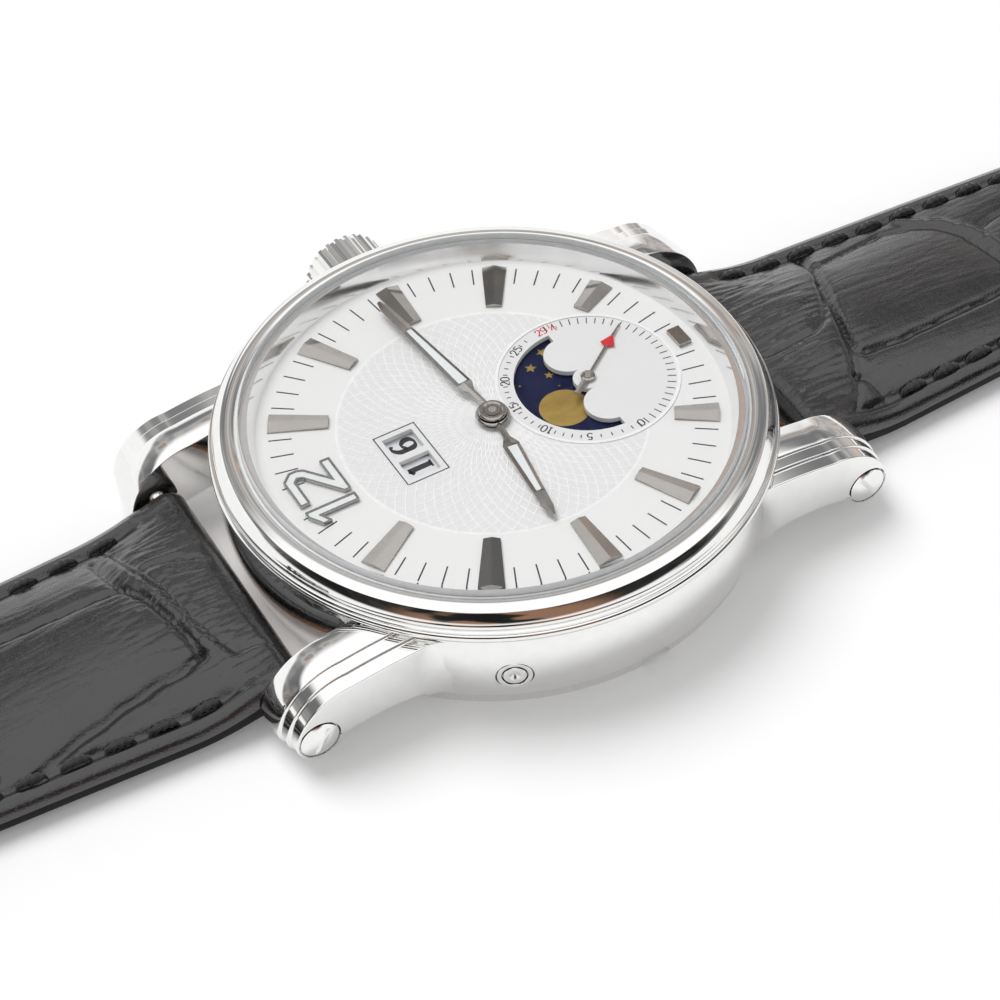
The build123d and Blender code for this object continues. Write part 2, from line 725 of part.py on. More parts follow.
def numeral_lume():
    low = DIAL_TOP + FIGURE_HIGH - FIGURE_LUME
    solids = [prism(figure(-FIGURE_RIM), low, DIAL_TOP + FIGURE_HIGH).solid()
              for figure in (figure_one, figure_two)]
    return Compound(children=solids)


# Hands

def hand_half_widths(length, rim):
    """Stations (distance, half width) along a hand from neck to tip."""
    wide = HAND_WIDE / 2 - rim
    tip = HAND_TIP_WIDE / 2 - rim / 2
    return [(HAND_SHOULDER + rim, wide), (length - HAND_TIP, tip + (wide - tip) / 4)]


def hand_blade(length):
    neck = HAND_NECK / 2
    stations = hand_half_widths(length, 0)
    right = [(neck, 0), (neck, HAND_NECK_END)]
    right += [(half, far) for far, half in stations]
    right.append((HAND_TIP_WIDE / 4, length))
    left = [(-x, y) for x, y in reversed(right)]
    return right + left


def hand_slot(length):
    stations = hand_half_widths(length, HAND_RIM)
    right = [(half, far) for far, half in stations]
    left = [(-x, y) for x, y in reversed(right)]
    return right + left


def hand(length, hub_r, bore, low, angle):
    body = prism(hand_blade(length), low, low + HAND_THICK)
    body = body + disc(hub_r, low, low + HAND_THICK)
    body = body - disc(bore, low - OVERRUN, low + HAND_THICK + OVERRUN)
    body = body - prism(hand_slot(length), low - OVERRUN, low + HAND_THICK + OVERRUN)
    return clock(angle) * body


def hand_lume(length, low, angle):
    inset = (HAND_THICK - LUME_THICK) / 2
    return clock(angle) * prism(hand_slot(length), low + inset, low + inset + LUME_THICK)


def hour_hand():
    return hand(HOUR_LENGTH, HOUR_HUB_R, HOUR_PIPE_R, HOUR_HAND_LOW, HOUR_ANGLE)


def hour_hand_lume():
    return hand_lume(HOUR_LENGTH, HOUR_HAND_LOW, HOUR_ANGLE)


def minute_hand():
    return hand(MINUTE_LENGTH, MINUTE_HUB_R, CANNON_R, MINUTE_HAND_LOW, MINUTE_ANGLE)


def minute_hand_lume():
    return hand_lume(MINUTE_LENGTH, MINUTE_HAND_LOW, MINUTE_ANGLE)


def seconds_hand():
    low = SECONDS_LOW
    high = SECONDS_LOW + SECONDS_THICK
    half = NEEDLE_WIDE / 2
    arrow = ARROW_WIDE / 2
    tail = TAIL_WIDE / 2
    right = [(tail, -TAIL_LENGTH), (tail, -SECONDS_HUB_R), (half, -SECONDS_HUB_R),
             (half, ARROW_BACK), (arrow, ARROW_BACK + arrow / 2), (half, ARROW_FRONT),
             (half / 2, SECONDS_LENGTH)]
    left = [(-x, y) for x, y in reversed(right)]
    body = prism(right + left, low, high) + disc(SECONDS_HUB_R, low, high)
    body = body - disc(FOURTH_ARBOR_R, low - OVERRUN, high + OVERRUN)
    return Pos(0, SUB_Y, 0) * clock(SECONDS_ANGLE) * body


# Discs under the dial

def moon_disc():
    low = MOON_DISC_LOW
    body = disc(MOON_DISC_R, low, low + DISC_THICK) + disc(HUB_R, low - HUB_HIGH, low)
    bore = HUB_R - POST_R
    return Pos(0, SUB_Y, 0) * (body - disc(bore, low - HUB_HIGH - OVERRUN, low + OVERRUN))


def date_disc(sign):
    body = disc(DATE_DISC_R, DATE_DISC_LOW, DATE_DISC_LOW + DISC_THICK)
    body = body - disc(POST_R + POST_FIT, DATE_DISC_LOW - OVERRUN, DATE_DISC_LOW + OVERRUN)
    return Pos(sign * DATE_DISC_X, WINDOW_Y, 0) * body


def disc_posts():
    """Two date posts and the moon disc's pipe, standing on the main plate."""
    date_top = DATE_DISC_LOW + DISC_THICK + POST_FIT
    shoulder = DATE_DISC_LOW - POST_FIT
    post = disc(POST_R, PLATE_TOP, date_top) + disc(2 * POST_R, PLATE_TOP, shoulder)
    solids = [(Pos(sign * DATE_DISC_X, WINDOW_Y, 0) * post).solid() for sign in (-1, 1)]
    bore = HUB_R - POST_R - POST_FIT
    pipe = ring(bore, SECONDS_HOLE_R, PLATE_TOP, MOON_DISC_LOW + DISC_THICK)
    collar = ring(HUB_R, SECONDS_HOLE_R, PLATE_TOP, MOON_DISC_LOW - HUB_HIGH - POST_FIT)
    solids.append((Pos(0, SUB_Y, 0) * (pipe + collar)).solid())
    return Compound(children=solids)


# Movement

def polar(radius, degrees):
    angle = math.radians(degrees)
    return radius * math.cos(angle), radius * math.sin(angle)


def third_place():
    """Where the third wheel meshes with the centre wheel and the fourth pinion."""
    to_centre = CENTRE_R + PINION_R + MESH
    to_fourth = THIRD_R + PINION_R + MESH
    reach = -SUB_Y
    down = (to_centre ** 2 - to_fourth ** 2 + reach ** 2) / (2 * reach)
    return math.sqrt(to_centre ** 2 - down ** 2), -down


def escape_place():
    reach = FOURTH_R + ESCAPE_PINION_R + MESH
    x, y = polar(reach, ESCAPE_ANGLE)
    return x, SUB_Y + y


def barrel_place():
    return polar(BARREL_R + CENTRE_PINION_R + MESH, BARREL_ANGLE)


def fork_place():
    x, y = escape_place()
    return (x + (BALANCE_X - x) * FORK_SHARE, y + (BALANCE_Y - y) * FORK_SHARE)


def balance_place():
    return BALANCE_X, BALANCE_Y


def pivots():
    """The wheels whose lower pivots turn in the train bridge."""
    return [third_place(), (0, SUB_Y), escape_place()]


def tooth_outline(radius, count):
    """A wheel's edge: one pointed tooth for each count."""
    points = []
    for index in range(2 * count):
        reach = radius if index % 2 else radius - TOOTH
        points.append(polar(reach, 180 * index / count))
    return points


def wheel(radius, low, teeth, thick, arms=4):
    """A toothed rim on arms."""
    rim_in = radius - TOOTH - radius * WHEEL_RIM_SHARE
    hub = radius * WHEEL_HUB_SHARE
    width = radius * WHEEL_ARM_SHARE
    rim = prism(tooth_outline(radius, teeth), low, low + thick)
    rim = rim - disc(rim_in, low - OVERRUN, low + thick + OVERRUN)
    body = rim + disc(hub, low, low + thick)
    arm = Box(width, 2 * radius - 2 * TOOTH - width, thick, align=BASE)
    for index in range(arms // 2):
        body = body + Rot(0, 0, 180 * index * 2 / arms) * Pos(0, 0, low) * arm
    return body


def arbor(radius, low, high):
    """A shaft whose ends turn in a bridge jewel and in the main plate."""
    ends = disc(PIVOT_R, BRIDGE_LOW + BRIDGE_THICK - JEWEL_THICK, PLATE_LOW + PIVOT_SINK)
    return disc(radius, low, high) + ends


def barrel():
    x, y = barrel_place()
    gear = prism(tooth_outline(BARREL_R, BARREL_TEETH), BARREL_LOW, BARREL_LOW + BARREL_GEAR)
    drum = disc(BARREL_DRUM_R, BARREL_LOW, BARREL_LOW + BARREL_HIGH)
    return Pos(x, y, 0) * (gear + drum + arbor(PINION_R, BARREL_LOW - PIVOT_SINK, BARREL_LOW))


def centre_wheel():
    top = MINUTE_HAND_LOW + HAND_THICK
    pinion_low = BARREL_LOW - MESH
    pinion_top = BARREL_LOW + BARREL_GEAR + MESH
    body = wheel(CENTRE_R, CENTRE_LOW, CENTRE_TEETH, WHEEL_THICK)
    body = body + prism(tooth_outline(CENTRE_PINION_R, CENTRE_LEAVES), pinion_low, pinion_top)
    arbor_low = BRIDGE_LOW + BRIDGE_THICK - JEWEL_THICK
    return body + disc(CENTRE_ARBOR_R, arbor_low, top)


def cannon_pinion():
    body = disc(CANNON_R, CANNON_LOW, MINUTE_HAND_LOW + HAND_THICK)
    gear = prism(tooth_outline(CENTRE_PINION_R, CENTRE_LEAVES), CANNON_LOW, CANNON_LOW + WHEEL_THICK)
    bore = disc(CENTRE_ARBOR_R, CANNON_LOW - OVERRUN, MINUTE_HAND_LOW + OVERRUN)
    return body + gear - bore


def hour_wheel():
    top = HOUR_HAND_LOW + HAND_THICK
    body = wheel(HOUR_WHEEL_R, HOUR_WHEEL_LOW, HOUR_TEETH, WHEEL_THICK)
    body = body + disc(HOUR_PIPE_R, HOUR_WHEEL_LOW, top)
    return body - disc(HOUR_PIPE_BORE, HOUR_WHEEL_LOW - OVERRUN, top + OVERRUN)


def third_wheel():
    x, y = third_place()
    body = wheel(THIRD_R, THIRD_LOW, THIRD_TEETH, WHEEL_THICK)
    pinion = prism(tooth_outline(PINION_R, PINION_LEAVES), THIRD_PINION_LOW, THIRD_LOW)
    shaft = arbor(PINION_R / 2, THIRD_PINION_LOW, PLATE_LOW - MESH)
    return Pos(x, y, 0) * (body + pinion + shaft)


def fourth_wheel():
    body = wheel(FOURTH_R, FOURTH_LOW, FOURTH_TEETH, WHEEL_THICK)
    pinion = prism(tooth_outline(PINION_R, PINION_LEAVES), FOURTH_PINION_LOW, FOURTH_LOW)
    jewel_low = BRIDGE_LOW + BRIDGE_THICK - JEWEL_THICK
    shaft = disc(PIVOT_R, jewel_low, FOURTH_PINION_LOW)
    shaft = shaft + disc(FOURTH_ARBOR_R, FOURTH_PINION_LOW, SECONDS_LOW + SECONDS_THICK)
    return Pos(0, SUB_Y, 0) * (body + pinion + shaft)


def escape_wheel():
    x, y = escape_place()
    body = wheel(ESCAPE_R, ESCAPE_LOW, ESCAPE_TEETH, WHEEL_THICK)
    pinion = prism(tooth_outline(ESCAPE_PINION_R, PINION_LEAVES), FOURTH_LOW - MESH,
                   FOURTH_LOW + WHEEL_THICK + MESH)
    shaft = arbor(PIVOT_R + MESH, ESCAPE_LOW, PLATE_LOW - MESH)
    return Pos(x, y, 0) * (body + pinion + shaft)


def pallet_fork():
    """An anchor above the escape wheel whose arms stand clear of its teeth."""
    x, y = fork_place()
    ex, ey = escape_place()
    aim = math.degrees(math.atan2(BALANCE_Y - ey, BALANCE_X - ex))
    lever = Box(FORK_LONG, FORK_WIDE, WHEEL_THICK,
                align=(Align.MIN, Align.CENTER, Align.MIN))
    arms = Box(FORK_WIDE, 4 * FORK_WIDE, WHEEL_THICK, align=BASE)
    shaft = disc(PIVOT_R + MESH, FORK_LOW - FORK_DROP, PLATE_LOW - MESH)
    shaft = shaft + disc(PIVOT_R, FORK_LOW, PLATE_LOW + PIVOT_SINK)
    body = Rot(0, 0, aim) * Pos(0, 0, FORK_LOW) * (lever + arms) + shaft
    return Pos(x, y, 0) * body


def balance_wheel():
    low = BALANCE_LOW
    high = BALANCE_LOW + BALANCE_THICK
    body = ring(BALANCE_R, BALANCE_R - BALANCE_RIM, low, high)
    arm = Box(2 * BALANCE_R - BALANCE_RIM, BALANCE_RIM, WHEEL_THICK, align=BASE)
    body = body + Pos(0, 0, low) * arm + disc(PINION_R, low, high)
    body = body + arbor(PIVOT_R + MESH, low, PLATE_LOW - MESH)
    return Pos(*balance_place()) * body


def main_plate():
    body = disc(PLATE_R, PLATE_LOW, PLATE_TOP)
    low = PLATE_LOW - OVERRUN
    body = body - disc(CENTRE_ARBOR_R + POST_FIT, low, PLATE_TOP + OVERRUN)
    fourth = disc(FOURTH_ARBOR_R + POST_FIT, low, PLATE_TOP + OVERRUN)
    body = body - Pos(0, SUB_Y, 0) * fourth
    sink = disc(PIVOT_R + JEWEL_FIT, low, PLATE_LOW + PIVOT_SINK + JEWEL_FIT)
    for x, y in pivots() + [fork_place(), barrel_place(), balance_place()]:
        body = body - Pos(x, y, 0) * sink
    room = PINION_OUT_R + KEYLESS_ROOM
    keyless = Box(PLATE_R, 2 * room, room, align=(Align.MIN, Align.CENTER, Align.CENTER))
    return body - Pos(STEM_IN, 0, STEM_Z + room / 2) * keyless


def bridge_area():
    """The whole bridge layer: a plate with the balance's opening."""
    high = BRIDGE_LOW + BRIDGE_THICK
    body = disc(BRIDGE_R, BRIDGE_LOW, high)
    opening = disc(BALANCE_R + BRIDGE_GAP, BRIDGE_LOW - OVERRUN, high + OVERRUN)
    body = body - Pos(*balance_place()) * opening
    return body - Pos(0, 0, BRIDGE_LOW) * extrude(cock_area(BRIDGE_GAP), BRIDGE_THICK)


def cock_post():
    return COCK_RIGHT - (PLATE_R + COCK_RIGHT) / 2, (COCK_TOP + COCK_LOW) / 2


def pillar_place(degrees):
    return polar(BRIDGE_R - PILLAR_EDGE - PILLAR_R, degrees)


def pillar(degrees):
    x, y = pillar_place(degrees)
    return Pos(x, y, 0) * disc(PILLAR_R, BRIDGE_LOW, PLATE_LOW)


def jewel_seats(body, places):
    for x, y in places:
        seat = disc(JEWEL_R, BRIDGE_LOW - OVERRUN, PLATE_LOW)
        body = body - Pos(x, y, 0) * seat
    return body


def train_side():
    size = 2 * PLATE_R
    return Pos(0, -BRIDGE_GAP / 2, 0) * Box(
        2 * size, size, size, align=(Align.CENTER, Align.MAX, Align.CENTER))


def barrel_side():
    size = 2 * PLATE_R
    return Pos(0, BRIDGE_GAP / 2, 0) * Box(
        2 * size, size, size, align=(Align.CENTER, Align.MIN, Align.CENTER))


def train_bridge():
    body = bridge_area() & Pos(0, BRIDGE_SPLIT_Y, 0) * train_side()
    for degrees in TRAIN_PILLAR_ANGLES:
        body = body + pillar(degrees)
    body = jewel_seats(body, [(0, 0)] + pivots())
    return body.solids().sort_by(SortBy.VOLUME)[-1]


def barrel_bridge():
    body = bridge_area() & Pos(0, BRIDGE_SPLIT_Y, 0) * barrel_side()
    for degrees in BARREL_PILLAR_ANGLES:
        body = body + pillar(degrees)
    return jewel_seats(body, [barrel_place()])


def cock_area(grow):
    """Plan of the balance cock: an arm from the balance to a foot at the plate's edge."""
    foot_long = PLATE_R + COCK_RIGHT
    foot_high = COCK_TOP - COCK_LOW
    foot = Pos(COCK_RIGHT + grow, (COCK_TOP + COCK_LOW) / 2) * Rectangle(
        foot_long + grow, foot_high + 2 * grow, align=(Align.MAX, Align.CENTER))
    arm = Pos(BALANCE_X, BALANCE_Y) * Rectangle(
        COCK_WIDE + 2 * grow, COCK_LOW - BALANCE_Y, align=(Align.CENTER, Align.MIN))
    return foot + arm


def balance_cock():
    layer = disc(BRIDGE_R, BRIDGE_LOW, BRIDGE_LOW + BRIDGE_THICK)
    body = layer & (Pos(0, 0, BRIDGE_LOW) * extrude(cock_area(0), BRIDGE_THICK))
    body = body + Pos(*balance_place()) * disc(
        COCK_WIDE / 2, BRIDGE_LOW, BRIDGE_LOW + BRIDGE_THICK)
    body = body + Pos(*cock_post()) * disc(PILLAR_R, BRIDGE_LOW, PLATE_LOW)
    return jewel_seats(body, [balance_place()])


def jewels():
    low = BRIDGE_LOW + BRIDGE_THICK - JEWEL_THICK
    high = BRIDGE_LOW + BRIDGE_THICK
    solids = []
    for x, y in pivots() + [barrel_place(), balance_place()]:
        stone = ring(JEWEL_R, PIVOT_R + JEWEL_FIT, low, high)
        solids.append((Pos(x, y, 0) * stone).solid())
    centre = ring(JEWEL_R, CENTRE_ARBOR_R + JEWEL_FIT, low, high)
    solids.append(centre.solid())
    return Compound(children=solids)


def bridge_screws():
    head = disc(BRIDGE_SCREW_R, BRIDGE_LOW - BRIDGE_SCREW_PROUD, BRIDGE_LOW)
    slot = Box(2 * BRIDGE_SCREW_R + OVERRUN, BRIDGE_SCREW_PROUD, BRIDGE_SCREW_PROUD)
    solids = []
    places = [(pillar_place(degrees), degrees)
              for degrees in TRAIN_PILLAR_ANGLES + BARREL_PILLAR_ANGLES]
    for (x, y), degrees in places + [(cock_post(), 0)]:
        cut = Pos(0, 0, BRIDGE_LOW - BRIDGE_SCREW_PROUD) * Rot(0, 0, degrees) * slot
        solids.append((Pos(x, y, 0) * (head - cut)).solid())
    return Compound(children=solids)


def movement_ring():
    """The spacer between the movement and the case, which also carries the dial."""
    body = ring(CAVITY_R - HOLDER_GAP, PLATE_R, HOLDER_LOW, DIAL_LOW)
    stem = along_x(STEM_R + POST_FIT, PLATE_R - OVERRUN, CAVITY_R + OVERRUN, 0, STEM_Z)
    room = corrector_place(disc(CORRECTOR_HEAD_R, PLATE_R + OVERRUN, CAVITY_R + OVERRUN))
    return body - stem - room


def rotor_bearing():
    post = disc(BEARING_R, BEARING_LOW, BRIDGE_LOW)
    flange = disc(BEARING_R + BEARING_LIP, BEARING_LOW - BEARING_LIP, BEARING_LOW)
    return post + flange


def rotor():
    web_top = ROTOR_WEB_LOW + ROTOR_WEB
    web = disc(ROTOR_WEB_R + OVERRUN, ROTOR_WEB_LOW, web_top)
    rim = ring(ROTOR_R, ROTOR_WEB_R, ROTOR_LOW, ROTOR_LOW + ROTOR_HIGH)
    half = Box(4 * ROTOR_R, 2 * ROTOR_R, 4 * ROTOR_R,
               align=(Align.CENTER, Align.MAX, Align.CENTER))
    body = (web + rim) & half
    for sign in (-1, 1):
        x, y = polar(ROTOR_WEB_R / 2 + BEARING_R, -90 + sign * ROTOR_CUT_SPREAD)
        cut = disc(ROTOR_CUT_R, ROTOR_WEB_LOW - OVERRUN, web_top + OVERRUN)
        body = body - Pos(x, y, 0) * cut
    body = body + disc(ROTOR_HUB_R, ROTOR_WEB_LOW, web_top)
    return body - disc(BEARING_R + BEARING_FIT, ROTOR_LOW - OVERRUN, web_top + OVERRUN)


# Crown and corrector

def winding_pinion():
    body = prism(tooth_outline(PINION_OUT_R, WINDING_TEETH), 0, PINION_LENGTH)
    body = body - disc(STEM_R + POST_FIT, -OVERRUN, PINION_LENGTH + OVERRUN)
    return Pos(PINION_IN_X, 0, STEM_Z) * Rot(0, 90, 0) * body


def stem():
    return along_x(STEM_R, STEM_IN, CROWN_IN_X + CROWN_RECESS, 0, STEM_Z)


def crown_tube():
    body = along_x(TUBE_R, TUBE_IN_X, TUBE_OUT_X, 0, STEM_Z)
    bore = along_x(TUBE_BORE, TUBE_IN_X - OVERRUN, TUBE_OUT_X + OVERRUN, 0, STEM_Z)
    return body - bore


def crown():
    """A fluted crown with a domed end and a recess for its tube."""
    outline = []
    for index in range(2 * CROWN_FLUTES):
        reach = CROWN_R if index % 2 else CROWN_R - CROWN_FLUTE
        outline.append(polar(reach, 180 * (index - CROWN_LAND_SHARE) / CROWN_FLUTES))
        outline.append(polar(reach, 180 * (index + CROWN_LAND_SHARE) / CROWN_FLUTES))
    body = prism(outline, 0, CROWN_LENGTH)
    edge = CROWN_R - CROWN_FLUTE
    dome = turned(
        Line((0, 0), (edge, 0)),
        Line((edge, 0), (CROWN_R, CROWN_DOME)),
        Line((CROWN_R, CROWN_DOME), (CROWN_R, CROWN_LENGTH - CROWN_DOME)),
        cap_arc(CROWN_R, CROWN_LENGTH - CROWN_DOME, CROWN_LENGTH),
        Line((0, CROWN_LENGTH), (0, 0)))
    body = body & dome
    body = body - disc(TUBE_R + POST_FIT, -OVERRUN, CROWN_RECESS)
    return Pos(CROWN_IN_X, 0, STEM_Z) * Rot(0, 90, 0) * body


def corrector_tube():
    sleeve = ring(CORRECTOR_RING_R, CORRECTOR_HEAD_R + CORRECTOR_FIT,
                  CORRECTOR_SEAT, CORRECTOR_FACE)
    return corrector_place(sleeve)


def corrector_pusher():
    head = disc(CORRECTOR_HEAD_R, CORRECTOR_FACE - CORRECTOR_HEAD, CORRECTOR_FACE)
    dimple = disc(CORRECTOR_DIMPLE, CORRECTOR_FACE - CORRECTOR_DIMPLE_DEEP,
                  CORRECTOR_FACE + OVERRUN)
    shank = disc(CORRECTOR_SHANK_R, CORRECTOR_END, CORRECTOR_FACE - CORRECTOR_HEAD)
    return corrector_place(head - dimple + shank)


# Straps

def strap_section(y, wide, low, edge_top, crown):
    """A strap's cross-section: flat lining, rounded edges and a crowned top."""
    half = wide / 2
    round_r = min(STRAP_ROUND, (edge_top - low) / 2)
    middle = (low + edge_top) / 2
    inner = half - round_r
    edges = [
        Line((-inner, low), (inner, low)),
        ThreePointArc((inner, low), (half, middle), (inner, edge_top)),
        ThreePointArc((inner, edge_top), (0, crown), (-inner, edge_top)),
        ThreePointArc((-inner, edge_top), (-half, middle), (-inner, low)),
    ]
    section = Plane(origin=(0, y, 0), x_dir=(1, 0, 0), z_dir=(0, -1, 0))
    return section * make_face(Curve() + edges)


def strap_root():
    """The roll of leather around the lug bar."""
    half = STRAP_WIDE / 2
    roll = along_x(ROLL_R, -half, half, BAR_Y, BAR_Z)
    return fillet(roll.edges().filter_by(GeomType.CIRCLE), STRAP_ROUND / 2)


def strap_bore():
    return along_x(BAR_R + STRAP_FIT, -STRAP_WIDE, STRAP_WIDE, BAR_Y, BAR_Z)


def root_section():
    return strap_section(BAR_Y, STRAP_WIDE, BAR_Z - ROLL_R, BAR_Z + ROLL_R,
                         BAR_Z + ROLL_R + STRAP_FIT)


def pad_section():
    return strap_section(STRAP_PAD_Y, STRAP_WIDE, STRAP_LOW, STRAP_LOW + STRAP_EDGE,
                         STRAP_CROWN)


def strap_12():
    end_y = BAR_Y + BUCKLE_STRAP
    end_top = BUCKLE_END_LOW + BUCKLE_END_THICK
    wide_mid = STRAP_END_WIDE + (STRAP_WIDE - STRAP_END_WIDE) * (
        (STRAP_TAPER_Y - STRAP_MID_Y) / (STRAP_TAPER_Y - STRAP_PAD_Y))
    body = strap_root() + loft([root_section(), pad_section()], ruled=True)
    middle = strap_section(STRAP_MID_Y, wide_mid, STRAP_LOW, STRAP_LOW + STRAP_EDGE,
                           STRAP_FLAT)
    flat_top = BUCKLE_END_LOW + BUCKLE_END_THICK
    taper = strap_section(STRAP_TAPER_Y, STRAP_END_WIDE, BUCKLE_END_LOW,
                          flat_top - STRAP_FIT, flat_top)
    end = strap_section(end_y, STRAP_END_WIDE, BUCKLE_END_LOW, flat_top - STRAP_FIT,
                        flat_top)
    body = body + loft([pad_section(), middle], ruled=True)
    body = body + loft([middle, taper], ruled=True)
    body = body + loft([taper, end], ruled=True)
    half = STRAP_END_WIDE / 2
    middle_z = (BUCKLE_END_LOW + end_top) / 2
    body = body + along_x(BUCKLE_END_THICK / 2, -half + STRAP_ROUND, half - STRAP_ROUND,
                          end_y, middle_z)
    body = body - strap_bore()
    body = body - along_x(BUCKLE_BAR_R, -STRAP_WIDE, STRAP_WIDE, end_y, middle_z)
    slot_wide = TANG_WIDE + 2 * TANG_SLOT_SIDE
    slot = Box(slot_wide, 2 * TANG_SLOT_LONG, 2 * end_top)
    return body - Pos(0, end_y, middle_z) * slot


def strap_6():
    tip_y = BAR_Y + HOLE_STRAP
    tip_top = STRAP_LOW + TIP_THICK
    wide_mid = STRAP_END_WIDE + (STRAP_WIDE - STRAP_END_WIDE) * (
        (STRAP_TAPER_Y - STRAP_MID_Y) / (STRAP_TAPER_Y - STRAP_PAD_Y))
    middle = strap_section(STRAP_MID_Y, wide_mid, STRAP_LOW, STRAP_LOW + STRAP_EDGE,
                           STRAP_FLAT)
    taper = strap_section(STRAP_TAPER_Y, STRAP_END_WIDE, STRAP_LOW,
                          tip_top - STRAP_FIT, tip_top)
    end = strap_section(tip_y, STRAP_END_WIDE, STRAP_LOW, tip_top - STRAP_FIT, tip_top)
    body = strap_root() + loft([root_section(), pad_section()], ruled=True)
    body = body + loft([pad_section(), middle], ruled=True)
    body = body + loft([middle, taper], ruled=True)
    body = body + loft([taper, end], ruled=True)
    half = STRAP_END_WIDE / 2
    tongue = make_face(Curve() + [
        path((half, tip_y - half), (half, 0), (-half, 0), (-half, tip_y - half)),
        ThreePointArc((-half, tip_y - half), (0, tip_y), (half, tip_y - half))])
    wide = make_face(Polyline(
        (-STRAP_WIDE, 0), (STRAP_WIDE, 0), (STRAP_WIDE, tip_y - 2 * half),
        (-STRAP_WIDE, tip_y - 2 * half), close=True))
    body = body & extrude(tongue + wide, 2 * STRAP_CROWN)
    body = body - strap_bore()
    for index in range(HOLE_COUNT):
        y = tip_y - HOLE_FIRST - index * HOLE_PITCH
        body = body - Pos(0, y, 0) * disc(HOLE_R, -OVERRUN, STRAP_CROWN)
    return mirrored_y(body)


def keeper(y):
    """A leather loop around the strap, with room above it for the other strap."""
    wide = STRAP_END_WIDE + 2 * KEEPER_SIDE
    inner_low = BUCKLE_END_LOW - STRAP_FIT
    inner_high = BUCKLE_END_LOW + BUCKLE_END_THICK + KEEPER_ROOM
    outer = Box(wide + 2 * KEEPER_WALL, KEEPER_WIDE,
                inner_high - inner_low + 2 * KEEPER_WALL, align=BASE)
    outer = fillet(outer.edges().filter_by(Axis.Y), STRAP_ROUND)
    inner = Box(wide, KEEPER_WIDE + OVERRUN, inner_high - inner_low, align=BASE)
    loop = Pos(0, y, inner_low - KEEPER_WALL) * outer
    return loop - Pos(0, y, inner_low) * inner


def fixed_keeper():
    return keeper(BAR_Y + BUCKLE_STRAP - FIXED_KEEPER_BACK)


def free_keeper():
    return keeper(BAR_Y + BUCKLE_STRAP - FREE_KEEPER_BACK)


def buckle_centre():
    return BAR_Y + BUCKLE_STRAP, BUCKLE_END_LOW + BUCKLE_END_THICK / 2


def buckle_bar():
    y, z = buckle_centre()
    half = STRAP_END_WIDE / 2 + BUCKLE_SIDE + BUCKLE_ARM
    return along_x(BUCKLE_BAR_R, -half, half, y, z)


def buckle_frame():
    y, z = buckle_centre()
    inner = STRAP_END_WIDE / 2 + BUCKLE_SIDE
    outer = inner + BUCKLE_ARM
    frame = Rectangle(2 * outer, BUCKLE_LONG + BUCKLE_BACK,
                      align=(Align.CENTER, Align.MIN))
    front = [corner for corner in frame.vertices() if corner.Y > 0]
    frame = fillet(front, BUCKLE_CORNER)
    gap = Rectangle(2 * inner, BUCKLE_LONG + BUCKLE_BACK - BUCKLE_FRONT,
                    align=(Align.CENTER, Align.MIN))
    frame = Pos(0, y - BUCKLE_BACK) * (frame - gap)
    body = Pos(0, 0, z - BUCKLE_THICK / 2) * extrude(frame, BUCKLE_THICK)
    hole = along_x(BUCKLE_BAR_R + STRAP_FIT, -2 * outer, 2 * outer, y, z)
    return body - hole


def buckle_tang():
    y, z = buckle_centre()
    half = TANG_WIDE / 2
    eye = along_x(TANG_RING_R, -half, half, y, z)
    rest = z + BUCKLE_THICK / 2 + TANG_LIFT
    front = y + BUCKLE_LONG - BUCKLE_FRONT
    tip = y + BUCKLE_LONG
    side = Plane.YZ * make_face(Polyline(
        (y, z), (y, z + TANG_RING_R), (front, rest + TANG_THICK), (tip, rest + TANG_THICK),
        (tip, rest), (front, rest), (y + TANG_RING_R, z), close=True))
    body = eye + Pos(-half, 0, 0) * extrude(side, TANG_WIDE)
    return body - along_x(BUCKLE_BAR_R + STRAP_FIT, -STRAP_WIDE, STRAP_WIDE, y, z)


PARTS = {
    "mid_case": mid_case,
    "flange_ring": flange_ring,
    "bezel": bezel,
    "crystal": crystal,
    "crystal_gasket": crystal_gasket,
    "rehaut_ring": rehaut_ring,
    "case_back_ring": case_back_ring,
    "back_glass": back_glass,
    "back_gasket": back_gasket,
    "bar_12": lambda: strap_bar(1),
    "bar_6": lambda: strap_bar(-1),
    "lug_screws": lug_screws,
    "dial_plate": dial_plate,
    "subdial_ring": subdial_ring,
    "hour_markers": hour_markers,
    "numeral_twelve": numeral_twelve,
    "numeral_lume": numeral_lume,
    "hour_hand": hour_hand,
    "hour_hand_lume": hour_hand_lume,
    "minute_hand": minute_hand,
    "minute_hand_lume": minute_hand_lume,
    "seconds_hand": seconds_hand,
    "moon_disc": moon_disc,
    "date_units_disc": lambda: date_disc(1),
    "date_tens_disc": lambda: date_disc(-1),
    "disc_posts": disc_posts,
    "movement_ring": movement_ring,
    "main_plate": main_plate,
    "train_bridge": train_bridge,
    "barrel_bridge": barrel_bridge,
    "balance_cock": balance_cock,
    "jewels": jewels,
    "bridge_screws": bridge_screws,
    "barrel": barrel,
    "centre_wheel": centre_wheel,
    "cannon_pinion": cannon_pinion,
    "hour_wheel": hour_wheel,
    "third_wheel": third_wheel,
    "fourth_wheel": fourth_wheel,
    "escape_wheel": escape_wheel,
    "pallet_fork": pallet_fork,
    "balance_wheel": balance_wheel,
    "rotor": rotor,
    "rotor_bearing": rotor_bearing,
    "winding_pinion": winding_pinion,
    "stem": stem,
    "crown": crown,
    "crown_tube": crown_tube,
    "corrector_tube": corrector_tube,
    "corrector_pusher": corrector_pusher,
    "strap_12": strap_12,
    "strap_6": strap_6,
    "fixed_keeper": fixed_keeper,
    "free_keeper": free_keeper,
    "buckle_frame": buckle_frame,
    "buckle_tang": buckle_tang,
    "buckle_bar": buckle_bar,
}

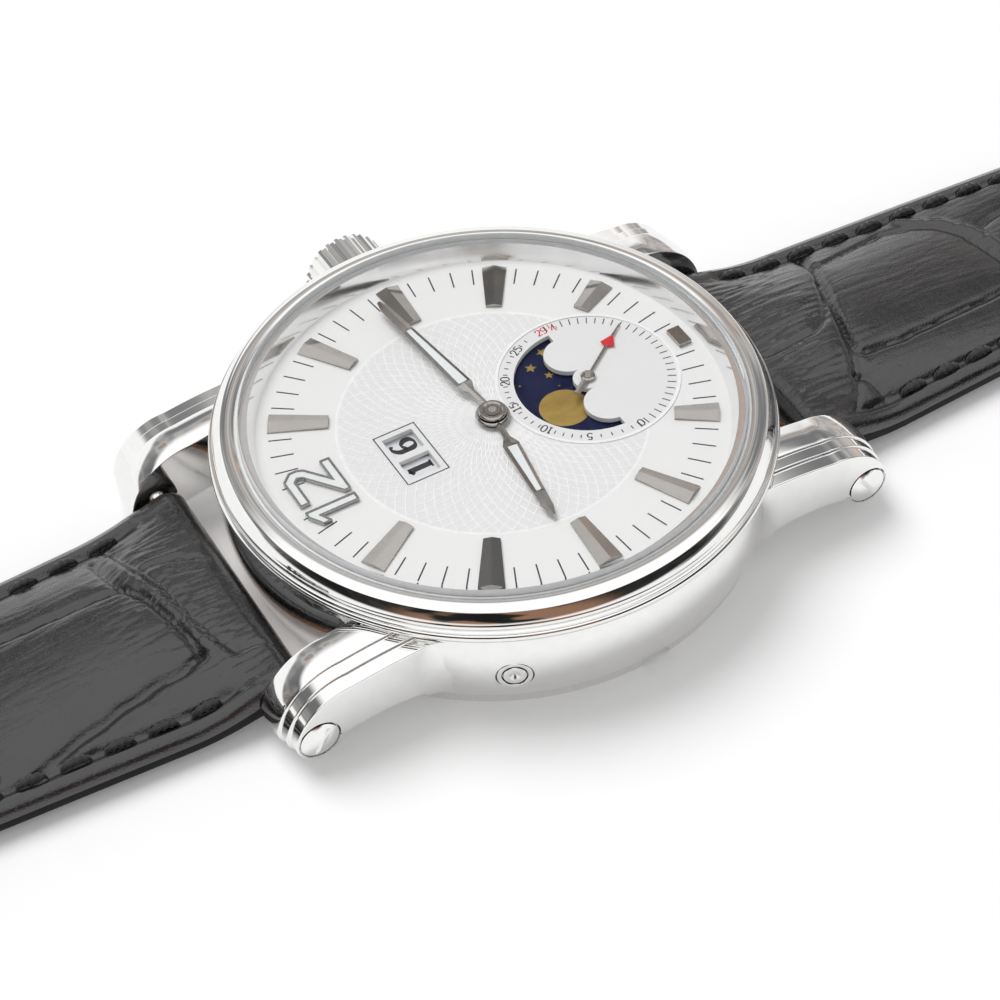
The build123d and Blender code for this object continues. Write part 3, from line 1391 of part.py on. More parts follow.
os.makedirs("parts", exist_ok=True)
for name, make in PARTS.items():
    export_step(make(), os.path.join("parts", name + ".step"))
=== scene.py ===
"""Dress a moon phase wristwatch on its CAD frame.

Pieces are shaped in millimetres and made in metres, where the frame has them: Z = 0 is the
case back, +Y is 12 o'clock and +X is 3 o'clock. Clock angles run clockwise from 12 o'clock.
"""

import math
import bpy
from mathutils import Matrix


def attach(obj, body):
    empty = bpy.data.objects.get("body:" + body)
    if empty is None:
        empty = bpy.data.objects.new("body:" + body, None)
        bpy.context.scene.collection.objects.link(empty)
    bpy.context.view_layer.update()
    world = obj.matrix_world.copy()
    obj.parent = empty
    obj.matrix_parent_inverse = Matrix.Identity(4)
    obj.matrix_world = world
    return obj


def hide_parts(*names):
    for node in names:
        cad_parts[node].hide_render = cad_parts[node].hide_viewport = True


bl_info = {
    "name": "Moon phase watch",
    "version": (1, 0, 0),
    "blender": (4, 5, 0),
    "location": "3D View > Sidebar > Watch",
    "description": "Finishes, dial work, straps and studio for a moon phase watch",
    "category": "Object",
}

import bmesh
import bpy
import numpy as np
from bpy.props import FloatProperty, FloatVectorProperty, IntProperty, PointerProperty
from mathutils import Matrix, Vector, noise
from mathutils.geometry import tessellate_polygon

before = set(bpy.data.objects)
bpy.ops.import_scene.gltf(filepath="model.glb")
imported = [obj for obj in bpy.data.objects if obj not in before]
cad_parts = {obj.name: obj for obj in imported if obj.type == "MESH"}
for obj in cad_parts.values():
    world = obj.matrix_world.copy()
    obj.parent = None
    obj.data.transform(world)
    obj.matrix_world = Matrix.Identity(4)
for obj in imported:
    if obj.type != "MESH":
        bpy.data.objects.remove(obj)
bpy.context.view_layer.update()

MM = 0.001

# Case sizes in millimetres. They repeat the CAD model's, apart from those with a comment
BACK_LIP = 1.0
BACK_SEAT = 2.4
BACK_RING_TOP = 1.6
FLANGE_LOW = 7.75
DIAL_TOP = 8.5
BEZEL_FOOT_TOP = 8.8
BEZEL_TOP = 10.15
CASE_FOOT_R = 20.45
CASE_BULGE_R = 21.2
CASE_TOP_R = 20.8
CAVITY_R = 18.6
THREAD_R = 17.8
FLANGE_R = 21.45
FLANGE_EDGE = 0.25
FOOT_R = 21.3
BEZEL_R = 21.1
BEZEL_CROWN_R = 20.2
BEZEL_BORE_R = 19.25
BEZEL_FOOT_BOW = (21.085, 9.02)         # the band's face is slanted more than the CAD model's
BEZEL_FACE = ((21.0, 9.2), (20.776, 9.626), (20.5, 10.02))
BEZEL_HEAD_BOW = (20.37, 10.11)
BEZEL_CROWN = 0.08
GLASS_SEAT_R = 17.8
GLASS_SEAT = 9.9
GLASS_R = 19.05             # smaller than the CAD model's, to leave room for the collar
GASKET_R = 19.28
GASKET_TOP = 10.1
GLASS_EDGE_TOP = 10.45
GLASS_RIM_R = 18.9
GLASS_RIM_TOP = 10.75
GLASS_TOP = 11.85
GLASS_UNDER = 10.85
GLASS_PLAY = 0.02           # keeps the glass from lying in the very face of its seat
TUBE_R = 1.1
STEM_Z = 4.9
CORRECTOR_ANGLE = 296.0
CORRECTOR_Z = 3.9
CORRECTOR_RING_R = 1.4
CORRECTOR_SEAT = 19.9
CORRECTOR_FACE = 21.15
CORRECTOR_BORE = 0.95
CORRECTOR_HEAD = 0.55
CORRECTOR_DIMPLE = (0.42, 0.24)     # radius and depth, a cone
CORRECTOR_GAP = 0.1         # dark ring around the sleeve and around the head
CORRECTOR_EDGE = 0.07
CORRECTOR_STEPS = 64
BAR_Y = 23.3
BAR_Z = 2.6
LUG_IN = 11.1
LUG_BAND_END = 13.8
LUG_RIDGE_END = 14.8
LUG_OUT = 15.9
LUG_STEP = 0.25
BULB_R = 1.8
LUG_ROOT_Y = 13.5
LUG_ROOT_TOP = 7.22
LUG_ROOT_LOW = 1.95
LUG_ARCH = 0.55
LUG_SHOULDER_Y = 20.2
LUG_SHOULDER_DROP = 0.55
LUG_BROW = 0.55
SCREW_SINK_R = 1.66         # wider than the CAD model's, so that its dark ring shows
SCREW_SINK = 0.55
WEB_ROWS = 13
WEB_STEPS = 8
WEB_PINCH = 0.16            # how much a lug's web narrows at its two ends
BORE_STEPS = 48

# Dial, hands and discs
SUB_Y = -8.3
SUB_EDGE_R = 7.1
GUILLOCHE_IN = 1.35
GUILLOCHE_OUT = 11.6
GUILLOCHE_ARC_R = 8.5
GUILLOCHE_STEPS = 60
DATE_FRAME = (-2.75, 5.2, 2.88, 8.7)
TICK_IN = 15.1
TICK_OUT = 16.85
SUB_TICK_OUT = 6.7
SUB_TICK_IN = 6.05
AGE_RADIUS = 6.3
AGE_HEIGHT = 0.68
AGE_TICK = 0.34
AGE_ADVANCE = 0.72          # from figure to figure, as a share of their height
AGE_PEN = (0.16, 0.1)       # width of a figure's upright and level strokes
HALF_PEN = (0.18, 0.1)
HAND_THICK = 0.2
HOUR_HAND = {"low": 8.95, "length": 11.4, "hub": 1.3, "bore": 0.9, "angle": 277.0,
             "slot_end": 8.8}
MINUTE_HAND = {"low": 9.3, "length": 15.2, "hub": 1.1, "bore": 0.6, "angle": 84.0,
               "slot_end": 11.1}
HAND_NECK = 0.5
HAND_NECK_END = 2.7
HAND_SHOULDER = 3.5
HAND_WIDE = 1.3
HAND_TIP_WIDE = 0.62
HAND_TIP = 0.9
HAND_RIM = 0.24
HAND_EDGE = 0.4             # height of a hand's side, as a share of its thickness
HAND_CREST = 0.02           # half width of its crest, as a share of its half width
HAND_SHARP = 20.0
LUME_GAP = 0.02
SECONDS_LOW = 8.66
SECONDS_THICK = 0.12
SECONDS_ANGLE = 144.0
SECONDS_HUB_R = 0.57
SECONDS_BORE = 0.22
SECONDS_LENGTH = 6.2
ARROW_BACK = 3.55
ARROW_FRONT = 4.75
ARROW_WIDE = 1.15
TAIL_LENGTH = 2.05
TAIL_WIDE = 0.5
NEEDLE_WIDE = 0.2
MOON_TOP = 7.96
MOON_ORBIT = 3.2
MOON_R = 1.95
MOON_ANGLE = 115.8          # of the moon that shows, counterclockwise from 3 o'clock
DATE_TOP = 7.66
DATE_CARD_TOP = 7.98
DATE_DISC_R = 5.3
DATE_DISC_X = 5.5
DATE_Y = 6.95
DATE_ORBIT = 4.17
DATE_SHIFT = (0.16, -0.08)  # centres a figure in its window as the camera sees it
DATE_FIGURE = 1.9
DATE_PEN = (0.26, 0.09)

# Straps: distance from the case's middle, width, underside, edge and crown heights
STRAP_ROOT = (23.3, 21.9, 0.88, 4.32, 4.37)
STRAP_PAD = (29.0, 21.9, 0.12, 2.62, 4.95)
STRAP_MIDDLE = (46.0, 20.11, 0.12, 2.62, 3.2)
STRAP_SHORT_STATIONS = (
    STRAP_ROOT, STRAP_PAD, STRAP_MIDDLE,
    (66.0, 18.0, 1.25, 3.8, 3.85), (98.3, 18.0, 1.25, 3.8, 3.85))
STRAP_LONG_STATIONS = (
    STRAP_ROOT, STRAP_PAD, STRAP_MIDDLE,
    (66.0, 18.0, 0.12, 2.47, 2.52), (138.3, 18.0, 0.12, 2.47, 2.52))
ROLL_R = 1.72
BUCKLE_Y = 98.3
BUCKLE_Z = 2.55
BUCKLE_ROLL_R = 1.3
TANG_SLOT = (2.3, 8.4)
TIP_Y = 138.3
STRAP_END_HALF = STRAP_LONG_STATIONS[-1][1] / 2
TONGUE_Y = TIP_Y - STRAP_END_HALF       # where the round tip starts
THROUGH_STRAP = (-1.0, 6.0)
HOLE_R = 0.85
HOLE_PITCH = 6.5
HOLE_FIRST = 28.0
HOLE_COUNT = 7
KEEPER_INSIDE = (18.4, 1.2, 6.45)   # width, underside and top of the room inside a keeper
KEEPER_WALL = 0.8
KEEPER_WIDE = 5.0
KEEPER_PLACES = {"fixed_keeper": 87.8, "free_keeper": 74.3}
BUCKLE_INNER = 9.3
BUCKLE_ARM = 1.9
BUCKLE_LONG = 13.0
BUCKLE_FRONT = 2.6
BUCKLE_BACK = 1.7
BUCKLE_THICK = 2.0
BUCKLE_CORNER = 2.2
BUCKLE_INNER_CORNER = 0.5
BUCKLE_SQUARE = 0.6         # 1 gives the bar a round section, and less a squarer one

# Relief of the leather, in millimetres
STRAP_ROUND = 1.0           # radius of a strap's sides
STRAP_CROWN_POWER = 2.6
LEATHER_STARTS = (22.2, 24.5)   # where the relief sets in, from the case outwards
SEAM_STARTS = (25.0, 27.5)
SEAM_WIDE = 0.36
BEAD = (0.75, 0.12, 0.5)    # inset, height and width of the bead outside the seam
CREASE_SPREAD = 0.1
WOBBLE = 0.1
PEBBLES = 0.5
SCALE_DIP = (0.15, 1.4)     # depth and width of the dip beside a crease
SCALE_STARTS = (26.0, 30.0)
FOLD_WIDE = 0.16
FOLDS_CALM = (0.75, 29.0, 33.0)     # share of the folds that is lost, and between where
STITCH_LIFT = 0.56
STITCH_SUNK = 0.1
STITCH_TURNS = 2.2
STITCH_FIRST = 0.3

# How finely pieces are made
PATH_STEPS = 6
TURN_STEPS = 240            # steps around a turned piece
WELD = 0.0004
SHARP_ANGLE = 32.0
STRAP_COLUMNS = 137         # points across a strap's upper side
UNDER_STEPS = 12
EDGE_STEPS = 6              # steps up the painted lower half of a strap's side
FINE_ROW = 0.17
COARSE_ROW = 0.42
STRAP_SHARP = 60.0
STITCH_STATIONS = 19
STITCH_CORNERS = 9


# Shaping

def polar(radius, angle, x=0.0, y=0.0):
    """The point at an angle, in radians, on a circle around (x, y)."""
    return x + radius * math.cos(angle), y + radius * math.sin(angle)


def bow(start, through, end, steps):
    """Points along the arc from start through a middle point to end, without its start."""
    (ax, ay), (bx, by), (cx, cy) = start, through, end
    cross = 2 * (ax * (by - cy) + bx * (cy - ay) + cx * (ay - by))
    a2, b2, c2 = ax * ax + ay * ay, bx * bx + by * by, cx * cx + cy * cy
    ux = (a2 * (by - cy) + b2 * (cy - ay) + c2 * (ay - by)) / cross
    uy = (a2 * (cx - bx) + b2 * (ax - cx) + c2 * (bx - ax)) / cross
    radius = math.hypot(ax - ux, ay - uy)
    first, middle, last = (math.atan2(y - uy, x - ux) for x, y in (start, through, end))
    turn = (last - first) % math.tau
    if (middle - first) % math.tau > turn:
        turn -= math.tau
    return [polar(radius, first + turn * step / steps, ux, uy) for step in range(1, steps + 1)]


def eased(outline, radius, steps=3, closed=True):
    """An outline with its corners rounded off."""
    count = len(outline)
    out = []
    for index, place in enumerate(outline):
        at_end = not closed and index in (0, count - 1)
        corner = Vector(place)
        before = Vector(outline[index - 1]) - corner
        after = Vector(outline[(index + 1) % count]) - corner
        bend = 0.0
        if not at_end and min(before.length, after.length) >= WELD:
            bend = math.pi - before.angle(after)
        if bend < math.radians(SHARP_ANGLE / 2):
            out.append(tuple(place if at_end else corner))
            continue
        back = min(radius * math.tan(bend / 2), before.length / 2.2, after.length / 2.2)
        start = corner + before.normalized() * back
        end = corner + after.normalized() * back
        for step in range(steps + 1):
            share = step / steps
            point = (start * (1 - share) ** 2 + corner * 2 * share * (1 - share)
                     + end * share ** 2)
            out.append(tuple(point))
    return out


def drawn_in(outline, distance):
    """A closed outline moved inwards; one that runs counterclockwise gets smaller."""
    count = len(outline)
    out = []
    for index in range(count):
        here = Vector(outline[index])
        into = (here - Vector(outline[index - 1])).normalized()
        away = (Vector(outline[(index + 1) % count]) - here).normalized()
        normal = Vector((-into.y - away.y, into.x + away.x))
        if normal.length < WELD:
            normal = Vector((-into.y, into.x))
        normal.normalize()
        lean = max(normal.dot(Vector((-into.y, into.x))), 0.3)
        out.append(tuple(here + normal * distance / lean))
    return out


def oblong(left, low, right, high):
    return [(left, low), (right, low), (right, high), (left, high)]


def circle(radius, steps, x=0.0, y=0.0):
    return [polar(radius, math.tau * step / steps, x, y) for step in range(steps)]


def clock(points, degrees, x=0.0, y=0.0):
    """Turn points drawn along +Y to a clock angle, and then move them."""
    cosine = math.cos(math.radians(degrees))
    sine = math.sin(math.radians(degrees))
    return [(px * cosine + py * sine + x, py * cosine - px * sine + y, *rest)
            for px, py, *rest in points]


def level(outline, z):
    """An outline in plan as points at one height."""
    return [(x, y, z) for x, y in outline]


class Blank:
    """A piece while it is shaped: points in millimetres, faces and the finish of each."""

    def __init__(self):
        self.points = []
        self.faces = []
        self.finishes = []

    def add(self, points, faces, finish=0):
        first = len(self.points)
        self.points.extend(tuple(point) for point in points)
        self.faces.extend([first + corner for corner in face] for face in faces)
        self.finishes.extend([finish] * len(faces))

    def skin(self, rings, closed=True, joined=False, capped=False, finish=0):
        """Cover a row of rings of points. joined runs from the last ring to the first."""
        rows = len(rings)
        count = len(rings[0])
        faces = []
        for row in range(rows if joined else rows - 1):
            here = row * count
            there = (row + 1) % rows * count
            for column in range(count if closed else count - 1):
                beside = (column + 1) % count
                faces.append((here + column, here + beside, there + beside, there + column))
        if capped:
            faces.append(tuple(range(count)))
            faces.append(tuple((rows - 1) * count + column for column in range(count)))
        self.add([point for ring in rings for point in ring], faces, finish)

    def turn(self, profile, x=0.0, y=0.0, steps=TURN_STEPS, finish=0):
        """Turn a closed (radius, height) profile on a lathe."""
        angles = [math.tau * step / steps for step in range(steps)]
        rings = [[(*polar(r, angle, x, y), z) for r, z in profile] for angle in angles]
        self.skin(rings, joined=True, finish=finish)

    def slab(self, outline, low, high, edge=0.0, finish=0):
        """A flat piece with an outline in plan and a bevel around its top."""
        rings = [level(outline, low), level(outline, high - edge)]
        if edge:
            rings.append(level(drawn_in(outline, edge), high))
        self.skin(rings, capped=True, finish=finish)

    def pane(self, outlines, place, finish=0):
        """A flat face with holes. place turns (u, v) into a point."""
        flat = [[Vector((u, v, 0)) for u, v in outline] for outline in outlines]
        corners = [place(u, v) for outline in outlines for u, v in outline]
        self.add(corners, tessellate_polygon(flat), finish)


def add_object(name, data):
    thing = bpy.data.objects.new(name, data)
    bpy.context.scene.collection.objects.link(thing)
    return thing


def blank_mesh(name, blank):
    mesh = bpy.data.meshes.new(name)
    mesh.from_pydata((np.array(blank.points) * MM).tolist(), [], blank.faces)
    return mesh


def face_outwards(mesh, weld):
    """Turn the faces outwards. weld first joins points that lie together."""
    shell = bmesh.new()
    shell.from_mesh(mesh)
    if weld:
        bmesh.ops.remove_doubles(shell, verts=shell.verts, dist=WELD * MM)
    bmesh.ops.recalc_face_normals(shell, faces=shell.faces)
    shell.to_mesh(mesh)
    shell.free()


def smooth(mesh, sharp):
    """Shade smoothly, apart from edges that bend by more than sharp degrees."""
    mesh.shade_smooth()
    mesh.set_sharp_from_angle(angle=math.radians(sharp))


def make_piece(name, blank, finishes, body, stands_for=(), sharp=SHARP_ANGLE):
    """Turn a blank into an object that rides on a body."""
    mesh = blank_mesh(name, blank)
    for finish in finishes:
        mesh.materials.append(finish)
    mesh.polygons.foreach_set("material_index", blank.finishes)
    face_outwards(mesh, weld=True)
    smooth(mesh, sharp)
    piece = add_object(name, mesh)
    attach(piece, body)
    if stands_for:
        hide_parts(*stands_for)
    return piece


def carve(piece, cutter):
    """Cut a blank's solids out of a piece, and raise an error if most of it is lost."""
    mesh = blank_mesh("cutter", cutter)
    face_outwards(mesh, weld=False)
    tool = add_object("cutter", mesh)
    cut = piece.modifiers.new("cut", "BOOLEAN")
    cut.operation = "DIFFERENCE"
    cut.solver = "EXACT"
    cut.object = tool
    result = bpy.data.meshes.new_from_object(
        piece.evaluated_get(bpy.context.evaluated_depsgraph_get()))
    if len(result.polygons) < len(piece.data.polygons) / 2:
        raise RuntimeError(piece.name + " was lost in the cut")
    piece.modifiers.remove(cut)
    piece.data = result
    bpy.data.objects.remove(tool)
    smooth(result, SHARP_ANGLE)


# Finishes

WHITE = (1.0, 1.0, 1.0, 1.0)


def toned(colour, factor, lift=0.0):
    """A colour made lighter or darker."""
    return tuple(min(1.0, share * factor + lift) for share in colour)


class NodeWork:
    """Nodes that are put together in a material or in the world."""

    def __init__(self, tree):
        self.nodes = tree.nodes
        self.links = tree.links

    def node(self, kind, inputs=None, **settings):
        """Add a node. Its inputs are values or other nodes' outputs."""
        node = self.nodes.new(kind)
        for key, value in settings.items():
            setattr(node, key, value)
        for key, value in (inputs or {}).items():
            if isinstance(value, bpy.types.NodeSocket):
                self.links.new(value, node.inputs[key])
            else:
                node.inputs[key].default_value = value
        return node

    def maths(self, operation, first, second):
        inputs = {0: first, 1: second}
        return self.node("ShaderNodeMath", inputs, operation=operation).outputs[0]

    def mix(self, share, first, second):
        return self.node("ShaderNodeMixShader", {0: share, 1: first, 2: second}).outputs[0]

    def spread(self, value, low, high, low_out, high_out, **settings):
        """Run from one output to the other while a value runs from low to high."""
        inputs = {"Value": value, "From Min": low, "From Max": high, "To Min": low_out,
                  "To Max": high_out}
        return self.node("ShaderNodeMapRange", inputs, **settings).outputs[0]

    def ramp(self, value, stops):
        """A colour by a value: stops are (place, colour)."""
        ramp = self.node("ShaderNodeValToRGB", {"Fac": value})
        elements = ramp.color_ramp.elements
        for index, (place, colour) in enumerate(stops):
            stop = elements[index] if index < 2 else elements.new(place)
            stop.position = place
            stop.color = (*colour, 1.0)
        return ramp.outputs[0]


class Finish(NodeWork):
    """A material that is put together node by node, with its pattern in millimetres."""

    def __init__(self, name, colour, roughness, metallic=0.0):
        self.material = bpy.data.materials.new(name)
        self.material.use_nodes = True
        super().__init__(self.material.node_tree)
        self.shader = self.nodes["Principled BSDF"]
        self.set("Base Color", (*colour, 1.0))
        self.set("Roughness", roughness)
        self.set("Metallic", metallic)
        self.height = None

    def set(self, socket, value):
        self.shader.inputs[socket].default_value = value

    def show(self, shader):
        self.links.new(shader, self.nodes["Material Output"].inputs["Surface"])

    def place(self, stretch=(1.0, 1.0, 1.0)):
        """The piece's own coordinates in millimetres, stretched along its axes."""
        where = self.node("ShaderNodeTexCoord").outputs["Object"]
        scale = tuple(share / MM for share in stretch)
        return self.node("ShaderNodeMapping", {"Vector": where, "Scale": scale}).outputs[0]

    def speckle(self, scale, detail=3.0, stretch=(1.0, 1.0, 1.0), rough=0.55):
        inputs = {"Vector": self.place(stretch), "Scale": scale, "Detail": detail,
                  "Roughness": rough}
        return self.node("ShaderNodeTexNoise", inputs).outputs["Fac"]

    def cells(self, scale, stretch=(1.0, 1.0, 1.0), feature="DISTANCE_TO_EDGE"):
        inputs = {"Vector": self.place(stretch), "Scale": scale}
        return self.node("ShaderNodeTexVoronoi", inputs, feature=feature).outputs["Distance"]

    def tint(self, value, stops):
        """Colour the piece by a value: stops are (place, colour)."""
        self.links.new(self.ramp(value, stops), self.shader.inputs["Base Color"])

    def gloss(self, value, low, high):
        """Let the roughness run between two values."""
        spread = self.spread(value, 0.3, 0.7, low, high)
        self.links.new(spread, self.shader.inputs["Roughness"])

    def relief(self, value, depth):
        """Raise the surface by a value, on top of any earlier relief. depth is in mm."""
        inputs = {"Height": value, "Distance": depth * MM, "Strength": 1.0}
        bump = self.node("ShaderNodeBump", inputs)
        if self.height:
            self.links.new(self.height, bump.inputs["Normal"])
        self.height = bump.outputs[0]
        self.links.new(self.height, self.shader.inputs["Normal"])


def steel(name, colour, roughness, haze=0.03):
    """Polished steel with a trace of handling."""
    finish = Finish(name, colour, roughness, metallic=1.0)
    finish.gloss(finish.speckle(0.35, 4.0), roughness, roughness + haze)
    finish.tint(finish.speckle(0.8, 2.0), ((0.35, toned(colour, 0.97)), (0.65, colour)))
    return finish.material


def brushed(name, colour, roughness, along=(0.06, 1.0, 1.0)):
    """Metal with a fine directional grain."""
    finish = Finish(name, colour, roughness, metallic=1.0)
    grain = finish.speckle(14.0, 2.0, along)
    finish.gloss(grain, roughness - 0.06, roughness + 0.1)
    finish.tint(grain, ((0.3, toned(colour, 0.9)), (0.7, colour)))
    finish.relief(grain, 0.002)
    return finish.material


def gilt(name, colour, bright, above):
    """Gilt wheels whose arbors are bright steel above a height in millimetres."""
    finish = Finish(name, colour, 0.22, metallic=1.0)
    axes = finish.node("ShaderNodeSeparateXYZ", {0: finish.place()})
    high = finish.spread(axes.outputs["Z"], above - 0.1, above, 0.0, 1.0)
    finish.tint(high, ((0.0, colour), (1.0, bright)))
    finish.gloss(finish.speckle(14.0, 2.0), 0.16, 0.3)
    return finish.material


def striped_nickel(name, colour):
    """Nickel plate with broad polished stripes."""
    finish = Finish(name, colour, 0.24, metallic=1.0)
    inputs = {"Vector": finish.place((1.0, 1.0, 0.0)), "Scale": 0.22}
    stripes = finish.node("ShaderNodeTexWave", inputs, wave_type="BANDS", bands_direction="X",
                          wave_profile="SAW").outputs["Fac"]
    finish.gloss(stripes, 0.16, 0.32)
    finish.tint(stripes, ((0.0, toned(colour, 0.8)), (1.0, colour)))
    finish.relief(finish.speckle(9.0, 2.0, (1.0, 0.08, 1.0)), 0.003)
    return finish.material


def paint(name, colour, roughness, grain=0.0015):
    """Lacquer or print with a very fine surface."""
    finish = Finish(name, colour, roughness)
    cloud = finish.speckle(1.6, 3.0)
    finish.tint(cloud, ((0.35, toned(colour, 0.94)), (0.65, colour)))
    finish.relief(finish.speckle(18.0, 2.0), grain)
    return finish.material


def glass(name, colour, roughness):
    """Clear glass that lets the light through to what it covers."""
    finish = Finish(name, colour, roughness)
    finish.set("Transmission Weight", 1.0)
    finish.set("IOR", 1.1)
    finish.set("Coat Weight", 0.1)
    finish.set("Coat Roughness", 0.0)
    finish.relief(finish.speckle(0.05, 1.0), 0.0005)
    light = finish.node("ShaderNodeLightPath")
    through = finish.maths("MAXIMUM", light.outputs["Is Shadow Ray"],
                           light.outputs["Is Diffuse Ray"])
    clear = finish.node("ShaderNodeBsdfTransparent", {"Color": (*colour, 1.0)}).outputs[0]
    finish.show(finish.mix(through, finish.shader.outputs[0], clear))
    return finish.material


def leather(name, colour, roughness, shine, pores=0.035, wrinkles=0.09):
    """Calf leather with pores, fine creases along the strap and a soft shine."""
    finish = Finish(name, colour, roughness)
    cloud = finish.speckle(0.25, 4.0)
    finish.tint(cloud, ((0.3, colour), (0.7, toned(colour, 1.5, 0.004))))
    finish.gloss(finish.speckle(0.9, 4.0), roughness - 0.06, roughness + 0.12)
    finish.set("Specular IOR Level", 0.6)
    finish.set("Coat Weight", shine)
    finish.set("Coat IOR", 1.6)
    finish.set("Coat Roughness", roughness)
    fine = finish.speckle(1.1, 5.0, (1.0, 0.22, 1.0), 0.6)
    finish.relief(fine, wrinkles)
    finish.relief(finish.cells(3.2), pores)
    return finish.material


def edge_paint(name, colour):
    """Matt paint on the cut edge of leather."""
    finish = Finish(name, colour, 0.55)
    finish.set("Specular IOR Level", 0.2)
    cloud = finish.speckle(0.6, 4.0)
    finish.tint(cloud, ((0.3, colour), (0.7, toned(colour, 1.6, 0.002))))
    finish.relief(cloud, 0.05)
    return finish.material


def thread(name, colour):
    """Waxed thread with fibres along it."""
    finish = Finish(name, colour, 0.45)
    fibre = finish.speckle(9.0, 3.0, (1.0, 0.3, 1.0))
    finish.tint(fibre, ((0.3, colour), (0.7, toned(colour, 2.2, 0.01))))
    finish.relief(fibre, 0.03)
    finish.set("Sheen Weight", 0.3)
    return finish.material


FINISHES = {}       # materials that several operators share


def finish_node(material, *nodes):
    """Give CAD nodes a finish, and leave their shape alone."""
    for name in nodes:
        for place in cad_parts[name].material_slots:
            place.material = material


# What the settings of the panel have in common
COLOUR = {"subtype": "COLOR", "size": 3, "min": 0.0, "max": 1.0}
LENGTH = {"unit": "LENGTH", "min": 0.0}
SHARE = {"subtype": "FACTOR", "min": 0.0, "max": 1.0}


# Case

def lug_loop(step):
    """Side view of a lug, grown by a step, as (y, z) points from its root's underside."""
    bulb = BULB_R + step
    dip = LUG_ROOT_LOW - step
    low_y = BAR_Y - math.sqrt(bulb ** 2 - (BAR_Z - dip) ** 2)
    tip = (BAR_Y + bulb, BAR_Z)
    root_top = LUG_ROOT_TOP + step
    shoulder = (LUG_SHOULDER_Y, root_top - LUG_SHOULDER_DROP)
    brow = ((tip[0] + LUG_SHOULDER_Y) / 2 + LUG_BROW, (BAR_Z + shoulder[1]) / 2 + 2 * LUG_BROW)
    neck = ((LUG_SHOULDER_Y + LUG_ROOT_Y) / 2, root_top - LUG_SHOULDER_DROP / 4)
    belly = ((LUG_ROOT_Y + low_y) / 2, dip + LUG_ARCH)
    loop = [(LUG_ROOT_Y, dip)]
    loop += bow(loop[-1], belly, (low_y, dip), 16)
    loop += bow(loop[-1], (BAR_Y, BAR_Z - bulb), tip, 22)
    loop += bow(loop[-1], brow, shoulder, 22)
    loop += bow(loop[-1], neck, (LUG_ROOT_Y, root_top), 14)
    return loop


def lug_steps(crown, edge):
    """Stations across a lug as (x, step): a crowned band, a ridge and a flat flank."""
    band = 2 * LUG_STEP
    middle = (LUG_IN + LUG_BAND_END) / 2
    stations = [(LUG_IN, LUG_STEP), (LUG_IN, band - crown / 2)]
    stations += bow(stations[-1], (middle, band + crown), (LUG_BAND_END, band - crown / 2), 10)
    stations += [(LUG_BAND_END, LUG_STEP), (LUG_RIDGE_END, LUG_STEP), (LUG_RIDGE_END, 0.0),
                 (LUG_OUT, 0.0), (LUG_OUT, -LUG_STEP)]
    return eased(stations, edge, steps=4, closed=False)


def add_lug(blank, crown, edge, side, end):
    """One lug. side is 1 or -1 along X, end is 1 or -1 along Y."""
    def ring(x, outline):
        return [(side * x, end * y, z) for y, z in outline]

    def wall(x, *outlines):
        blank.pane(outlines, lambda y, z: (side * x, end * y, z))

    stations = lug_steps(crown, edge)
    blank.skin([ring(x, lug_loop(step)) for x, step in stations])
    wall(LUG_IN, lug_loop(stations[0][1]))
    sink = circle(SCREW_SINK_R, BORE_STEPS, BAR_Y, BAR_Z)
    wall(LUG_OUT, lug_loop(stations[-1][1]), sink)
    floor_x = LUG_OUT - SCREW_SINK
    blank.skin([ring(LUG_OUT, sink), ring(floor_x, sink)])
    wall(floor_x, sink)


def add_lug_web(blank, radius, side, end):
    """The soft fillet where a lug's outer flank runs into the round case."""
    low, high = LUG_ROOT_LOW, LUG_ROOT_TOP
    rings = []
    for z in np.linspace(low, high, WEB_ROWS):
        swell = math.sin(math.pi * (z - BACK_LIP) / (FLANGE_LOW - BACK_LIP))
        case_r = CASE_TOP_R + (CASE_BULGE_R - CASE_TOP_R) * swell
        reach = radius * (1 - WEB_PINCH * ((2 * (z - low) / (high - low) - 1) ** 8))
        middle = (LUG_OUT + reach, math.sqrt((case_r + reach) ** 2 - (LUG_OUT + reach) ** 2))
        share = case_r / (case_r + reach)
        at_case = (middle[0] * share, middle[1] * share)
        start = math.pi
        stop = math.atan2(at_case[1] - middle[1], at_case[0] - middle[0]) % math.tau
        arc = [polar(reach, start + (stop - start) * step / WEB_STEPS, *middle)
               for step in range(WEB_STEPS + 1)]
        ring = arc + [(at_case[0] - 0.4, at_case[1] - 0.4), (LUG_OUT - 0.3, middle[1] - 1.2),
                      (LUG_OUT - 0.3, middle[1] - 0.1)]
        rings.append([(side * x, end * y, z) for x, y in ring])
    blank.skin(rings, capped=True)


class WATCH_PG_case(bpy.types.PropertyGroup):
    edge: FloatProperty(
        name="Edge radius", description="How far the case's polished edges are rounded",
        default=0.14 * MM, **LENGTH)
    lug_crown: FloatProperty(
        name="Lug crown", description="How far the top band of a lug stands up in its middle",
        default=0.1 * MM, **LENGTH)
    web: FloatProperty(
        name="Lug web radius", description="Fillet between a lug's flank and the case",
        default=3.4 * MM, **LENGTH)
    steel_colour: FloatVectorProperty(
        name="Steel", description="Colour of the polished steel", default=(0.91, 0.91, 0.9),
        **COLOUR)
    polish: FloatProperty(
        name="Polish", description="Roughness of the polished steel", default=0.03, **SHARE)


